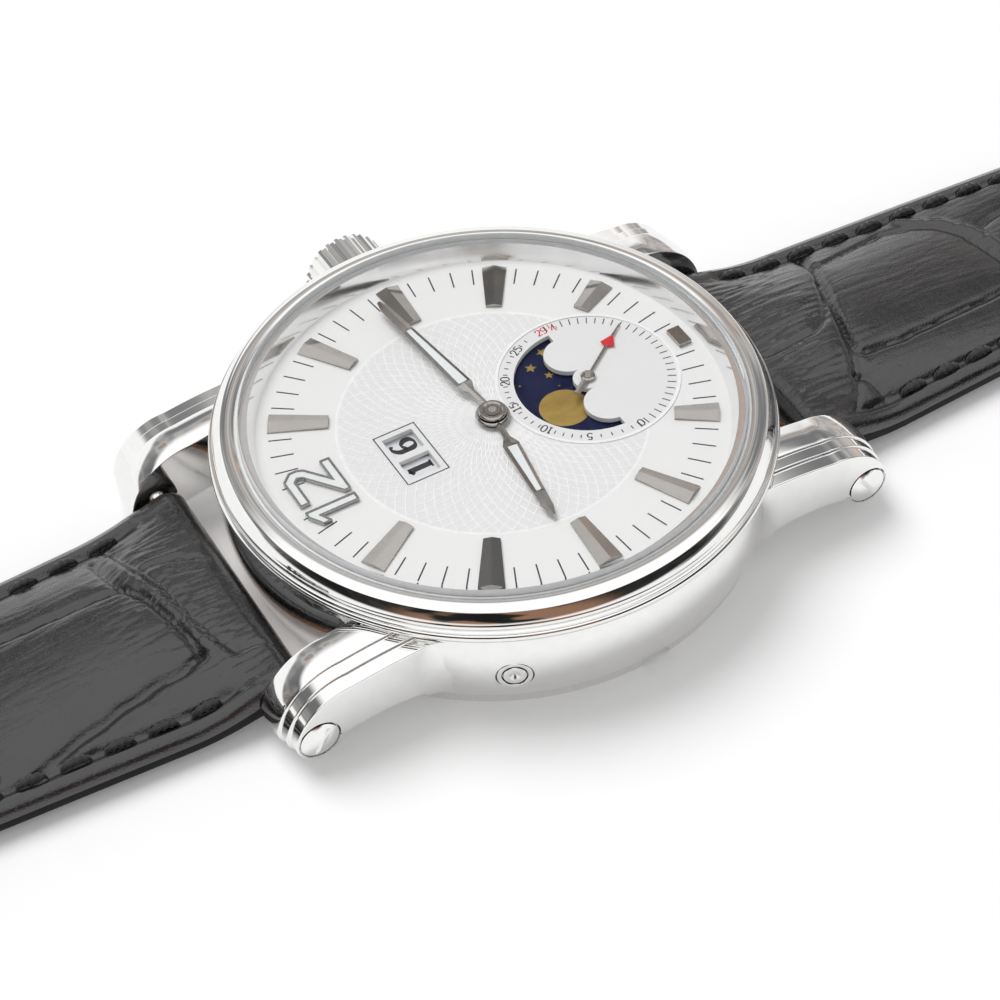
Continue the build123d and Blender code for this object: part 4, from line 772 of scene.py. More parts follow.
class WATCH_OT_case(bpy.types.Operator):
    """Shape the middle case with its lugs, and polish its screws and bars"""
    bl_idname = "watch.case"
    bl_label = "Middle case and lugs"

    def execute(self, context):
        settings = context.scene.watch_case
        edge = settings.edge / MM
        polished = steel("polished_steel", settings.steel_colour, settings.polish)
        FINISHES["steel"] = polished
        bulge_z = (BACK_LIP + FLANGE_LOW) / 2
        foot = (CASE_FOOT_R, BACK_LIP)
        wall = [foot] + bow(foot, (CASE_BULGE_R, bulge_z), (CASE_TOP_R, FLANGE_LOW), 24)
        inside = [(CAVITY_R, FLANGE_LOW), (CAVITY_R, BACK_SEAT), (THREAD_R, BACK_SEAT),
                  (THREAD_R, BACK_RING_TOP), (CAVITY_R, BACK_RING_TOP), (CAVITY_R, BACK_LIP)]
        blank = Blank()
        blank.turn(eased(wall + inside, edge))
        case = make_piece("middle_case", blank, [polished], "case", ["mid_case"])
        cutter = Blank()
        tube = [(CAVITY_R - 1, y, STEM_Z + z) for y, z in circle(TUBE_R, BORE_STEPS)]
        cutter.skin([tube, [(x + 4, y, z) for x, y, z in tube]], capped=True)
        sink = [(x, CORRECTOR_SEAT, CORRECTOR_Z + z)
                for x, z in circle(CORRECTOR_RING_R, BORE_STEPS)]
        rings = [sink, [(x, y + 2, z) for x, y, z in sink]]
        cutter.skin([clock(ring, CORRECTOR_ANGLE) for ring in rings], capped=True)
        carve(case, cutter)
        blank = Blank()
        for side in (1, -1):
            for end in (1, -1):
                add_lug(blank, settings.lug_crown / MM, edge, side, end)
                add_lug_web(blank, settings.web / MM, side, end)
        make_piece("lugs", blank, [polished], "case")
        finish_node(polished, "lug_screws", "bar_12", "bar_6", "crown_tube")
        return {"FINISHED"}


class WATCH_OT_bezel(bpy.types.Operator):
    """Turn the bezel and the thin flange below it, and finish the rehaut, the case back's ring and
    the gaskets
    """
    bl_idname = "watch.bezel"
    bl_label = "Bezel, flange and back"

    def execute(self, context):
        edge = context.scene.watch_case.edge / MM
        polished = FINISHES["steel"]
        crown = (BEZEL_CROWN_R, BEZEL_TOP)
        inner = (BEZEL_BORE_R, BEZEL_TOP)
        top = ((BEZEL_CROWN_R + BEZEL_BORE_R) / 2, BEZEL_TOP + BEZEL_CROWN)
        outline = [inner, (BEZEL_BORE_R, DIAL_TOP), (FOOT_R, DIAL_TOP), (FOOT_R, BEZEL_FOOT_TOP),
                   (BEZEL_R, BEZEL_FOOT_TOP)]
        low, middle, high = BEZEL_FACE
        outline += bow(outline[-1], BEZEL_FOOT_BOW, low, 10)
        outline += bow(low, middle, high, 14)
        outline += bow(high, BEZEL_HEAD_BOW, crown, 10)
        outline += bow(crown, top, inner, 8)[:-1]
        blank = Blank()
        blank.turn(eased(outline, edge))
        make_piece("polished_bezel", blank, [polished], "case", ["bezel"])
        side = FLANGE_R - FLANGE_EDGE
        outline = [(CAVITY_R, DIAL_TOP), (CAVITY_R, FLANGE_LOW), (side, FLANGE_LOW)]
        outline += bow(outline[-1], (FLANGE_R, (FLANGE_LOW + DIAL_TOP) / 2), (side, DIAL_TOP), 12)
        blank = Blank()
        blank.turn(outline)
        make_piece("thin_flange", blank, [polished], "case", ["flange_ring"])
        ring = steel("rehaut_steel", (0.93, 0.93, 0.93), 0.1)
        finish_node(ring, "rehaut_ring")
        back = brushed("back_steel", (0.88, 0.88, 0.87), 0.16, (1.0, 1.0, 0.1))
        finish_node(back, "case_back_ring")
        seal = paint("seal_rubber", (0.03, 0.03, 0.03), 0.6, 0.01)
        finish_node(seal, "back_gasket")
        nylon = paint("gasket_nylon", (0.86, 0.86, 0.85), 0.35)
        FINISHES["nylon"] = nylon
        finish_node(nylon, "crystal_gasket")
        return {"FINISHED"}


class WATCH_OT_crown(bpy.types.Operator):
    """Polish the crown, the stem and the corrector"""
    bl_idname = "watch.crown"
    bl_label = "Crown and corrector"

    def execute(self, context):
        finish_node(FINISHES["steel"], "crown", "stem")
        satin = steel("corrector_steel", (0.8, 0.8, 0.79), 0.12)
        outer = CORRECTOR_RING_R - CORRECTOR_GAP
        sleeve = oblong(CORRECTOR_BORE, CORRECTOR_SEAT, outer, CORRECTOR_FACE)
        dimple_r, dimple_deep = CORRECTOR_DIMPLE
        outer = CORRECTOR_BORE - CORRECTOR_GAP
        low = CORRECTOR_FACE - CORRECTOR_HEAD
        head = [(0.0, low), (outer, low), (outer, CORRECTOR_FACE), (dimple_r, CORRECTOR_FACE),
                (0.0, CORRECTOR_FACE - dimple_deep)]
        self.turned("corrector_sleeve", sleeve, satin, "case", "corrector_tube")
        self.turned("corrector_head", head, satin, "corrector", "corrector_pusher")
        return {"FINISHED"}

    def turned(self, name, profile, finish, body, node):
        """A piece turned about the corrector's axis: profile is (radius, reach) points."""
        blank = Blank()
        blank.turn(eased(profile, CORRECTOR_EDGE), y=CORRECTOR_Z, steps=CORRECTOR_STEPS)
        laid = [(x, reach, z) for x, z, reach in blank.points]
        blank.points = clock(laid, CORRECTOR_ANGLE)
        make_piece(name, blank, [finish], body, [node])


class WATCH_PG_crystal(bpy.types.PropertyGroup):
    clarity: FloatVectorProperty(
        name="Glass", description="Colour of the glass", default=(1.0, 1.0, 1.0), **COLOUR)
    smoothness: FloatProperty(
        name="Roughness", description="Roughness of the glass", default=0.0, **SHARE)


class WATCH_OT_crystal(bpy.types.Operator):
    """Clear glass over the dial and in the back"""
    bl_idname = "watch.crystal"
    bl_label = "Crystals"

    def execute(self, context):
        settings = context.scene.watch_crystal
        clear = glass("clear_glass", settings.clarity, settings.smoothness)
        finish_node(clear, "back_glass")
        seat = GLASS_SEAT + GLASS_PLAY
        side = GLASS_R - GLASS_PLAY
        half = GLASS_RIM_R / 2
        crown = GLASS_TOP - (GLASS_TOP - GLASS_RIM_TOP) / 4
        under = GLASS_UNDER - (GLASS_UNDER - seat) / 4
        outline = [(0.0, GLASS_UNDER)]
        outline += bow(outline[-1], (GLASS_SEAT_R / 2, under), (GLASS_SEAT_R, seat), 24)
        rim = [(side, seat), (side, GLASS_EDGE_TOP), (GLASS_RIM_R, GLASS_RIM_TOP)]
        outline += eased([outline[-1]] + rim + [(half, crown)], 0.25, 4, closed=False)[1:-1]
        outline += bow((GLASS_RIM_R, GLASS_RIM_TOP), (half, crown), (0.0, GLASS_TOP), 32)[1:]
        blank = Blank()
        blank.turn(outline)
        for index, face in enumerate(blank.faces):
            nearest = min(math.hypot(*blank.points[corner][:2]) for corner in face)
            if nearest > GLASS_RIM_R - GLASS_PLAY:
                blank.finishes[index] = 1
        frosted = paint("crystal_edge", (0.8, 0.81, 0.82), 0.3)
        make_piece("domed_crystal", blank, [clear, frosted], "case",
                   ["crystal"], 50.0)
        blank = Blank()
        blank.turn(oblong(side + GLASS_PLAY, seat, GASKET_R, GASKET_TOP))
        make_piece("gasket_collar", blank, [FINISHES["nylon"]], "case")
        return {"FINISHED"}


# Dial

def point_at(path, index, closed=False):
    """A point of a path. Past its ends a closed path goes round, and an open one stays."""
    count = len(path)
    return path[index % count if closed else min(max(index, 0), count - 1)]


def heading(path, index, closed=False):
    """Which way a path runs at one of its points."""
    ahead, behind = (point_at(path, index + step, closed) for step in (1, -1))
    return Vector((ahead[0] - behind[0], ahead[1] - behind[1])).normalized()


def add_ridge(blank, path, wide, low, high):
    """A fine raised line with a sharp crest along a path in plan."""
    rings = []
    for index, (x, y) in enumerate(path):
        along = heading(path, index)
        across = Vector((-along.y, along.x)) * wide / 2
        rings.append([(x + across.x, y + across.y, low), (x, y, high),
                      (x - across.x, y - across.y, low)])
    blank.skin(rings, closed=False)


def on_guilloche(x, y):
    """Whether a place belongs to the engraved middle of the dial."""
    left, low, right, high = DATE_FRAME
    in_frame = left < x < right and low < y < high
    return not in_frame and math.hypot(x, y - SUB_Y) > SUB_EDGE_R


def add_tick(blank, angle, inner, outer, wide, low, high, x=0.0, y=0.0, finish=0):
    outline = oblong(-wide / 2, inner, wide / 2, outer)
    blank.slab(clock(outline, angle, x, y), low, high, finish=finish)


def dial_silver(name, middle, rim):
    """Silver lacquer: slightly darker in the engraved middle than on the hour ring."""
    finish = Finish(name, rim, 0.42)
    place = finish.place((1.0, 1.0, 0.0))
    reach = finish.node("ShaderNodeVectorMath", {0: place}, operation="LENGTH").outputs["Value"]
    share = finish.spread(reach, GUILLOCHE_OUT - 0.1, GUILLOCHE_OUT + 0.1, 0.0, 1.0)
    middle_place = (0.0, SUB_Y, 0.0)
    from_sub = finish.node("ShaderNodeVectorMath", {0: place, 1: middle_place},
                           operation="DISTANCE").outputs["Value"]
    outside = finish.spread(from_sub, SUB_EDGE_R - 0.1, SUB_EDGE_R, 0.0, 1.0)
    share = finish.maths("MULTIPLY", share, outside)
    cloud = finish.spread(finish.speckle(0.6, 3.0), 0.3, 0.7, -0.05, 0.05)
    finish.tint(finish.maths("ADD", share, cloud), ((0.0, middle), (1.0, rim)))
    finish.relief(finish.speckle(16.0, 2.0), 0.001)
    finish.set("Metallic", 0.05)
    return finish.material


class WATCH_PG_dial(bpy.types.PropertyGroup):
    arcs: IntProperty(
        name="Guilloche arcs", description="Number of arcs of each hand in the engraving",
        default=72, min=3)
    ridge_wide: FloatProperty(
        name="Ridge width", description="Width of one engraved line", default=0.13 * MM, **LENGTH)
    ridge_high: FloatProperty(
        name="Ridge height", description="Height of one engraved line", default=0.035 * MM,
        **LENGTH)
    tick_wide: FloatProperty(
        name="Minute mark width", description="Width of a printed minute mark", default=0.11 * MM,
        **LENGTH)
    print_high: FloatProperty(
        name="Print height", description="How far the print stands on the dial",
        default=0.012 * MM, **LENGTH)
    silver: FloatVectorProperty(
        name="Hour ring", description="Colour of the silver hour ring", default=(0.9, 0.9, 0.895),
        **COLOUR)
    middle: FloatVectorProperty(
        name="Middle", description="Colour of the engraved middle", default=(0.84, 0.84, 0.84),
        **COLOUR)
    ink: FloatVectorProperty(
        name="Ink", description="Colour of the printed marks", default=(0.03, 0.03, 0.035),
        **COLOUR)
    red: FloatVectorProperty(
        name="Red", description="Colour of the red arrow and the last moon age",
        default=(0.7, 0.02, 0.03), **COLOUR)


class WATCH_OT_dial(bpy.types.Operator):
    """Engrave the dial's middle and print its minute marks"""
    bl_idname = "watch.dial"
    bl_label = "Dial"

    def execute(self, context):
        settings = context.scene.watch_dial
        plate = dial_silver("dial_silver", settings.middle, settings.silver)
        finish_node(plate, "dial_plate")
        white = paint("engraving_white", (0.99, 0.99, 0.99), 0.3)
        finish_node(white, "subdial_ring")
        FINISHES["ink"] = paint("black_print", settings.ink, 0.5)
        FINISHES["red"] = paint("red_print", settings.red, 0.4)
        self.engrave(settings, white)
        self.print_marks(settings)
        return {"FINISHED"}

    def engrave(self, settings, finish):
        wide = settings.ridge_wide / MM
        top = DIAL_TOP + settings.ridge_high / MM
        blank = Blank()
        reaches = np.linspace(GUILLOCHE_IN, GUILLOCHE_OUT, GUILLOCHE_STEPS)
        for index in range(settings.arcs):
            for hand in (1, -1):
                run = []
                for reach in reaches:
                    angle = (math.tau * index / settings.arcs
                             + hand * math.acos(reach / (2 * GUILLOCHE_ARC_R)))
                    place = polar(reach, angle)
                    if on_guilloche(*place):
                        run.append(place)
                        continue
                    if len(run) > 1:
                        add_ridge(blank, run, wide, DIAL_TOP, top)
                    run = []
                if len(run) > 1:
                    add_ridge(blank, run, wide, DIAL_TOP, top)
        rim = [place for place in circle(GUILLOCHE_OUT + wide, 360) if on_guilloche(*place)]
        rim.sort(key=lambda place: math.atan2(place[0], -place[1]) % math.tau)
        add_ridge(blank, rim, 2 * wide, DIAL_TOP, top)
        make_piece("guilloche", blank, [finish], "case")

    def print_marks(self, settings):
        wide = settings.tick_wide / MM
        top = DIAL_TOP + settings.print_high / MM
        blank = Blank()
        for minute in range(60):
            if minute % 5:
                add_tick(blank, 6 * minute, TICK_IN, TICK_OUT, wide, DIAL_TOP, top)
        outer = oblong(*DATE_FRAME)
        inner = drawn_in(outer, wide * 0.8)
        blank.pane([outer, inner], lambda x, y: (x, y, top))
        for outline in (outer, inner):
            blank.skin([level(outline, DIAL_TOP), level(outline, top)])
        make_piece("minute_print", blank, [FINISHES["ink"]], "case")


def smooth_path(points, closed):
    """A smooth line through a few points."""
    out = []
    for index in range(len(points) if closed else len(points) - 1):
        a, b, c, d = (point_at(points, index + shift, closed) for shift in (-1, 0, 1, 2))
        for step in range(PATH_STEPS):
            t = step / PATH_STEPS
            out.append(tuple(
                0.5 * (2 * q + (r - p) * t + (2 * p - 5 * q + 4 * r - s) * t * t
                       + (3 * q - p - 3 * r + s) * t ** 3)
                for p, q, r, s in zip(a, b, c, d)))
    if not closed:
        out.append(tuple(points[-1]))
    return out


# Figures on a field one high, as strokes. One that ends where it starts is closed
FIGURES = {
    "0": [[(0.32, 1.0), (0.57, 0.8), (0.6, 0.5), (0.57, 0.2), (0.32, 0.0), (0.07, 0.2),
           (0.04, 0.5), (0.07, 0.8), (0.32, 1.0)]],
    "1": [[(0.36, 0.0), (0.36, 0.5), (0.36, 1.0)], [(0.14, 0.83), (0.36, 0.97)],
          [(0.16, 0.0), (0.56, 0.0)]],
    "2": [[(0.08, 0.74), (0.14, 0.93), (0.33, 1.0), (0.53, 0.9), (0.56, 0.7), (0.42, 0.42),
           (0.06, 0.03)], [(0.06, 0.03), (0.6, 0.03)]],
    "3": [[(0.08, 0.82), (0.3, 1.0), (0.52, 0.9), (0.52, 0.65), (0.28, 0.54)],
          [(0.28, 0.54), (0.54, 0.44), (0.58, 0.2), (0.32, 0.0), (0.06, 0.15)]],
    "4": [[(0.46, 0.0), (0.46, 1.0)], [(0.46, 1.0), (0.02, 0.3)], [(0.02, 0.3), (0.64, 0.3)]],
    "5": [[(0.14, 0.97), (0.56, 0.97)], [(0.14, 0.97), (0.12, 0.56)],
          [(0.12, 0.56), (0.38, 0.62), (0.58, 0.45), (0.56, 0.15), (0.3, 0.0), (0.06, 0.12)]],
    "6": [[(0.54, 0.93), (0.34, 1.0), (0.1, 0.78), (0.05, 0.4), (0.12, 0.1), (0.33, 0.0),
           (0.55, 0.12), (0.58, 0.36), (0.38, 0.56), (0.1, 0.42)]],
    "7": [[(0.05, 0.97), (0.6, 0.97)], [(0.6, 0.97), (0.38, 0.5), (0.26, 0.0)]],
    "8": [[(0.32, 1.0), (0.52, 0.9), (0.52, 0.66), (0.32, 0.54), (0.12, 0.66), (0.12, 0.9),
           (0.32, 1.0)],
          [(0.32, 0.54), (0.58, 0.38), (0.56, 0.1), (0.32, 0.0), (0.08, 0.1), (0.06, 0.38),
           (0.32, 0.54)]],
    "9": [[(0.1, 0.07), (0.3, 0.0), (0.54, 0.22), (0.59, 0.6), (0.52, 0.9), (0.31, 1.0),
           (0.09, 0.88), (0.06, 0.64), (0.26, 0.44), (0.54, 0.58)]],
    "/": [[(0.05, -0.05), (0.5, 1.0)]],
}
FIGURE_WIDE = 0.64


def add_figure(blank, figure, place, size, pen, low, high, finish=0):
    """Print a figure with a broad pen: upright strokes are thick, level ones thin.
    place turns (x, y) on the figure's field into a point in plan."""
    thick, thin = pen
    for points in FIGURES[figure]:
        closed = points[0] == points[-1]
        path = smooth_path(points[:-1] if closed else points, closed)
        rings = []
        for index, (x, y) in enumerate(path):
            along = heading(path, index, closed)
            half = (thin + (thick - thin) * abs(along.y) ** 1.5) / 2
            left = place(x - along.y * half, y + along.x * half, size)
            right = place(x + along.y * half, y - along.x * half, size)
            rings.append([(*left, low), (*left, high), (*right, high), (*right, low)])
        blank.skin(rings, joined=closed, capped=not closed, finish=finish)


def upright(x, y, turn=0.0):
    """Where a figure's field lies: its middle at (x, y), turned clockwise."""
    def place(u, v, size):
        return clock([((u - FIGURE_WIDE / 2) * size, (v - 0.5) * size)], turn, x, y)[0]
    return place


MOON_AGES = {"0": -98.0, "5": -60.4, "10": -30.0, "15": 1.0, "20": 28.3, "25": 60.0}
LAST_AGE = 86.0
HALF_SIGNS = (("1", 0.2, 0.55), ("/", 0.0, 0.85), ("2", -0.2, 0.55))  # how far out, and size


class WATCH_OT_subdial(bpy.types.Operator):
    """Print the seconds marks and the moon's age around the sub-dial"""
    bl_idname = "watch.subdial"
    bl_label = "Sub-dial print"

    def execute(self, context):
        settings = context.scene.watch_dial
        wide = settings.tick_wide / MM * 0.7
        top = DIAL_TOP + settings.print_high / MM
        blank = Blank()
        for second in range(60):
            angle = 6 * second
            if not -96 < (angle + 180) % 360 - 180 < 88:
                add_tick(blank, angle, SUB_TICK_IN, SUB_TICK_OUT, wide, DIAL_TOP, top, y=SUB_Y)
        ages = [int(age) for age in MOON_AGES]
        for day in range(30):
            angle = float(np.interp(day, ages + [29.5], [*MOON_AGES.values(), LAST_AGE]))
            if day % 5 and day < 28:
                add_tick(blank, angle, AGE_RADIUS - AGE_TICK / 2, AGE_RADIUS + AGE_TICK / 2,
                         wide, DIAL_TOP, top, y=SUB_Y)
        for text, angle in list(MOON_AGES.items()) + [("29", LAST_AGE)]:
            self.write(blank, text, angle, top, 1 if text == "29" else 0)
        make_piece("subdial_print", blank, [FINISHES["ink"], FINISHES["red"]], "case")
        return {"FINISHED"}

    def write(self, blank, text, angle, top, finish):
        """Write a moon age along the ring, and the half day after the last, red one."""
        advance = math.degrees(AGE_HEIGHT * AGE_ADVANCE / AGE_RADIUS)
        start = angle - advance * (len(text) - 1) / 2
        signs = [(figure, 0.0, 1.0, index, AGE_PEN) for index, figure in enumerate(text)]
        if finish:
            signs += [(*sign, len(text) + 0.05 + index * 0.45, HALF_PEN)
                      for index, sign in enumerate(HALF_SIGNS)]
        for figure, raised, size, place, pen in signs:
            turn = start + advance * place
            x, y = clock([(0, AGE_RADIUS + raised)], turn, 0, SUB_Y)[0]
            add_figure(blank, figure, upright(x, y, turn), AGE_HEIGHT * size, pen, DIAL_TOP, top,
                       finish)


# The "12" as seen from above, in millimetres from the dial's middle
NUMERAL_OUTLINES = (
    [(-1.4, 12.4), (-1.4, 16.5), (-2.0, 16.5), (-3.1, 15.8), (-3.1, 15.0), (-2.25, 15.45),
     (-2.25, 12.4)],
    [(-0.95, 12.4), (2.75, 12.4), (2.75, 13.25), (0.85, 13.25), (2.6, 14.62), (2.8, 15.1),
     (2.8, 15.75), (2.1, 16.5), (-0.75, 16.5), (-0.75, 15.65), (1.7, 15.65), (1.93, 15.4),
     (1.8, 15.08), (-0.95, 12.98)],
)
NUMERAL_RIM = 0.15
NUMERAL_CORNER = 0.12
NUMERAL_HIGH = 0.3
NUMERAL_SUNK = 0.06


class WATCH_OT_markers(bpy.types.Operator):
    """Polish the applied batons and the numeral, and fill it"""
    bl_idname = "watch.markers"
    bl_label = "Applied markers"

    def execute(self, context):
        finish_node(steel("marker_steel", (0.42, 0.4, 0.38), 0.05), "hour_markers")
        rim_steel = steel("numeral_steel", (0.42, 0.42, 0.41), 0.15)
        fill = paint("luminous_fill", (0.87, 0.9, 0.9), 0.6, 0.004)
        FINISHES["lume"] = fill
        rims = Blank()
        fills = Blank()
        top = DIAL_TOP + NUMERAL_HIGH
        sunk = top - NUMERAL_SUNK
        for outline in NUMERAL_OUTLINES:
            loops = [eased(drawn_in(outline, inset), NUMERAL_CORNER / share, 4)
                     for inset, share in ((0.0, 1), (NUMERAL_RIM, 3), (NUMERAL_RIM + LUME_GAP, 3))]
            rims.pane(loops[:2], lambda x, y: (x, y, top))
            for loop in loops[:2]:
                rims.skin([level(loop, DIAL_TOP), level(loop, top)])
            fills.skin([level(loops[2], DIAL_TOP), level(loops[2], sunk)])
            fills.pane(loops[2:], lambda x, y: (x, y, sunk))
        make_piece("numeral_rim", rims, [rim_steel], "case", ["numeral_twelve"])
        make_piece("numeral_filling", fills, [fill], "case", ["numeral_lume"])
        return {"FINISHED"}


# Hands

def hand_stations(length):
    """Stations (distance, half width) along a hand from its shoulder to its tip."""
    wide = HAND_WIDE / 2
    tip = HAND_TIP_WIDE / 2
    return [(HAND_SHOULDER, wide), (length - HAND_TIP, tip + (wide - tip) / 4)]


def slot_stations(hand, gap=0.0):
    """Stations of a hand's slot, or of the filling that sits in it with a gap."""
    first = HAND_SHOULDER + HAND_RIM + gap
    last = hand["slot_end"] - gap
    blade = hand_stations(hand["length"])
    return [(far, float(np.interp(far, *zip(*blade))) - HAND_RIM - gap)
            for far in (first, last)]


def add_hand(blank, hand):
    """A hand with a roof along each rim, a slot for its filling and a turned hub."""
    low, length = hand["low"], hand["length"]
    high = low + HAND_THICK
    edge = low + HAND_THICK * HAND_EDGE
    outer = [(0.0, HAND_NECK / 2), (HAND_NECK_END, HAND_NECK / 2)]
    outer += hand_stations(length)
    outer.append((length, HAND_TIP_WIDE / 4))
    slot = slot_stations(hand)
    stops = sorted({far for far, _ in outer + slot})
    outer_half = np.interp(stops, *zip(*outer))
    first, last = slot[0][0], slot[-1][0]
    for side in (1, -1):
        rings = []
        for far, half in zip(stops, outer_half):
            gap = float(np.interp(far, *zip(*slot))) if first <= far <= last else 0.0
            crest = half * HAND_CREST
            ring = [(half, low), (half, edge), (max(gap, crest), high), (gap, low)]
            rings.append([(side * x, far, z) for x, z in ring])
            if far in (first, last):
                other = [(half, low), (half, edge), (crest, high), (0.0, low)]
                other = [(side * x, far, z) for x, z in other]
                rings.insert(len(rings) - (1 if far == first else 0), other)
        blank.skin([clock(ring, hand["angle"]) for ring in rings], capped=True)
    hub, bore = hand["hub"], hand["bore"]
    ring = [(bore, low), (hub, low), (hub, edge), (hub - 0.12, high), (hub - 0.3, high),
            (hub - 0.36, high - 0.05), (bore, high - 0.05)]
    blank.turn(eased(ring, 0.03, 2), steps=72)


class WATCH_PG_hands(bpy.types.PropertyGroup):
    steel_colour: FloatVectorProperty(
        name="Steel", description="Colour of the hands' polished steel",
        default=(0.42, 0.4, 0.38), **COLOUR)
    polish: FloatProperty(
        name="Polish", description="Roughness of the hands", default=0.05, **SHARE)


class WATCH_OT_hands(bpy.types.Operator):
    """Shape the hour, minute and seconds hands with their facets"""
    bl_idname = "watch.hands"
    bl_label = "Hands"

    def execute(self, context):
        settings = context.scene.watch_hands
        polished = steel("hand_steel", settings.steel_colour, settings.polish)
        FINISHES["hand"] = polished
        for name, hand, body in (("hour_hand", HOUR_HAND, "hours"),
                                 ("minute_hand", MINUTE_HAND, "minutes")):
            blank = Blank()
            add_hand(blank, hand)
            make_piece(name + "_faceted", blank, [polished], body, [name],
                       HAND_SHARP)
            fill = slot_stations(hand, LUME_GAP)
            outline = [(half, far) for far, half in fill]
            outline += [(-half, far) for far, half in reversed(fill)]
            blank = Blank()
            blank.slab(clock(outline, hand["angle"]), hand["low"] + LUME_GAP,
                       hand["low"] + HAND_THICK - LUME_GAP, LUME_GAP)
            make_piece(name + "_filling", blank, [FINISHES["lume"]], body,
                       [name + "_lume"])
        self.seconds(polished)
        return {"FINISHED"}

    def seconds(self, polished):
        low = SECONDS_LOW
        high = low + SECONDS_THICK
        needle, tail, arrow = NEEDLE_WIDE / 2, TAIL_WIDE / 2, ARROW_WIDE / 2
        blank = Blank()
        parts = (
            ([(tail, -TAIL_LENGTH), (tail, 0.0)], 0),
            ([(needle, 0.0), (needle, ARROW_BACK)], 0),
            ([(needle, ARROW_BACK), (arrow, ARROW_BACK + arrow / 2), (needle, ARROW_FRONT)], 1),
            ([(needle, ARROW_FRONT), (needle / 2, SECONDS_LENGTH)], 0),
        )
        for stations, finish in parts:
            rings = []
            for half, far in stations:
                ring = [(-half, low), (-half, low + SECONDS_THICK / 2), (0.0, high),
                        (half, low + SECONDS_THICK / 2), (half, low)]
                rings.append(clock([(x, far, z) for x, z in ring], SECONDS_ANGLE, 0, SUB_Y))
            blank.skin(rings, capped=True, finish=finish)
        hub = [(SECONDS_BORE, low), (SECONDS_HUB_R, low), (SECONDS_HUB_R, high - 0.02),
               (SECONDS_HUB_R - 0.15, high + 0.03), (SECONDS_BORE, high + 0.03)]
        blank.turn(eased(hub, 0.03, 2), y=SUB_Y, steps=48)
        make_piece("seconds_hand_faceted", blank, [polished, FINISHES["red"]], "seconds",
                   ["seconds_hand"], HAND_SHARP)


# Moon and date

def night_lacquer(name, colour):
    """Deep blue lacquer with a faint cloud of lighter dust."""
    finish = Finish(name, colour, 0.16)
    cloud = finish.speckle(0.5, 5.0)
    finish.tint(cloud, ((0.35, colour), (0.75, toned(colour, 1.8, 0.01))))
    finish.set("Specular IOR Level", 0.12)
    finish.relief(finish.speckle(6.0, 2.0), 0.002)
    return finish.material


def gold_leaf(name, colour):
    """Matt gilding with a grain across it."""
    finish = Finish(name, colour, 0.42, metallic=0.6)
    grain = finish.speckle(1.2, 5.0, (1.0, 0.35, 1.0), 0.65)
    finish.tint(grain, ((0.3, toned(colour, 0.7)), (0.7, colour)))
    finish.gloss(grain, 0.28, 0.45)
    finish.relief(grain, 0.012)
    return finish.material


class WATCH_PG_moon(bpy.types.PropertyGroup):
    night: FloatVectorProperty(
        name="Night", description="Colour of the moon disc", default=(0.004, 0.008, 0.04),
        **COLOUR)
    gold: FloatVectorProperty(
        name="Gold", description="Colour of the moons and stars", default=(0.5, 0.34, 0.09),
        **COLOUR)
    leaf: FloatProperty(
        name="Leaf height", description="How far moons and stars stand on the disc",
        default=0.03 * MM, **LENGTH)


class WATCH_OT_moon(bpy.types.Operator):
    """Lay two gold moons and plain stars on the blue disc"""
    bl_idname = "watch.moon"
    bl_label = "Moon disc"

    def execute(self, context):
        settings = context.scene.watch_moon
        finish_node(night_lacquer("night_lacquer", settings.night), "moon_disc")
        gold = gold_leaf("gold_leaf", settings.gold)
        top = MOON_TOP + settings.leaf / MM
        blank = Blank()
        moon = [(0.0, MOON_TOP), (MOON_R, MOON_TOP), (MOON_R, top - 0.01), (MOON_R - 0.06, top),
                (0.0, top + 0.01)]
        for turn in (0.0, 180.0):
            x, y = polar(MOON_ORBIT, math.radians(MOON_ANGLE + turn), 0.0, SUB_Y)
            blank.turn(moon, x=x, y=y, steps=72)
        stars = [(4.95, 15.0, 0.46), (4.7, 38.0, 0.5), (3.1, 42.0, 0.42), (3.6, 14.0, 0.12),
                 (2.2, 66.0, 0.12), (5.2, 62.0, 0.14)]
        for reach, degrees, size in stars:
            for turn in (0.0, 180.0):
                x, y = polar(reach, math.radians(degrees + turn), 0.0, SUB_Y)
                self.star(blank, x, y, size, degrees + turn, top)
        make_piece("moons_and_stars", blank, [gold], "moon")
        return {"FINISHED"}

    def star(self, blank, x, y, size, turn, top):
        """A plain five-pointed star with a raised middle."""
        rim = []
        for index in range(10):
            reach = size if index % 2 == 0 else size * 0.42
            rim.append(polar(reach, math.radians(turn + 36 * index), x, y))
        edge = level(rim, MOON_TOP + (top - MOON_TOP) / 3)
        blank.skin([level(rim, MOON_TOP), edge])
        faces = [(index, (index + 1) % 10, 10) for index in range(10)]
        blank.add(edge + [(x, y, top + 0.02)], faces)


# Body, middle, the side that its window is on, and the figures from there, counterclockwise
DATE_DISCS = (("date_units", DATE_DISC_X, 180.0, "6543210987"),
              ("date_tens", -DATE_DISC_X, 0.0, "12301230"))


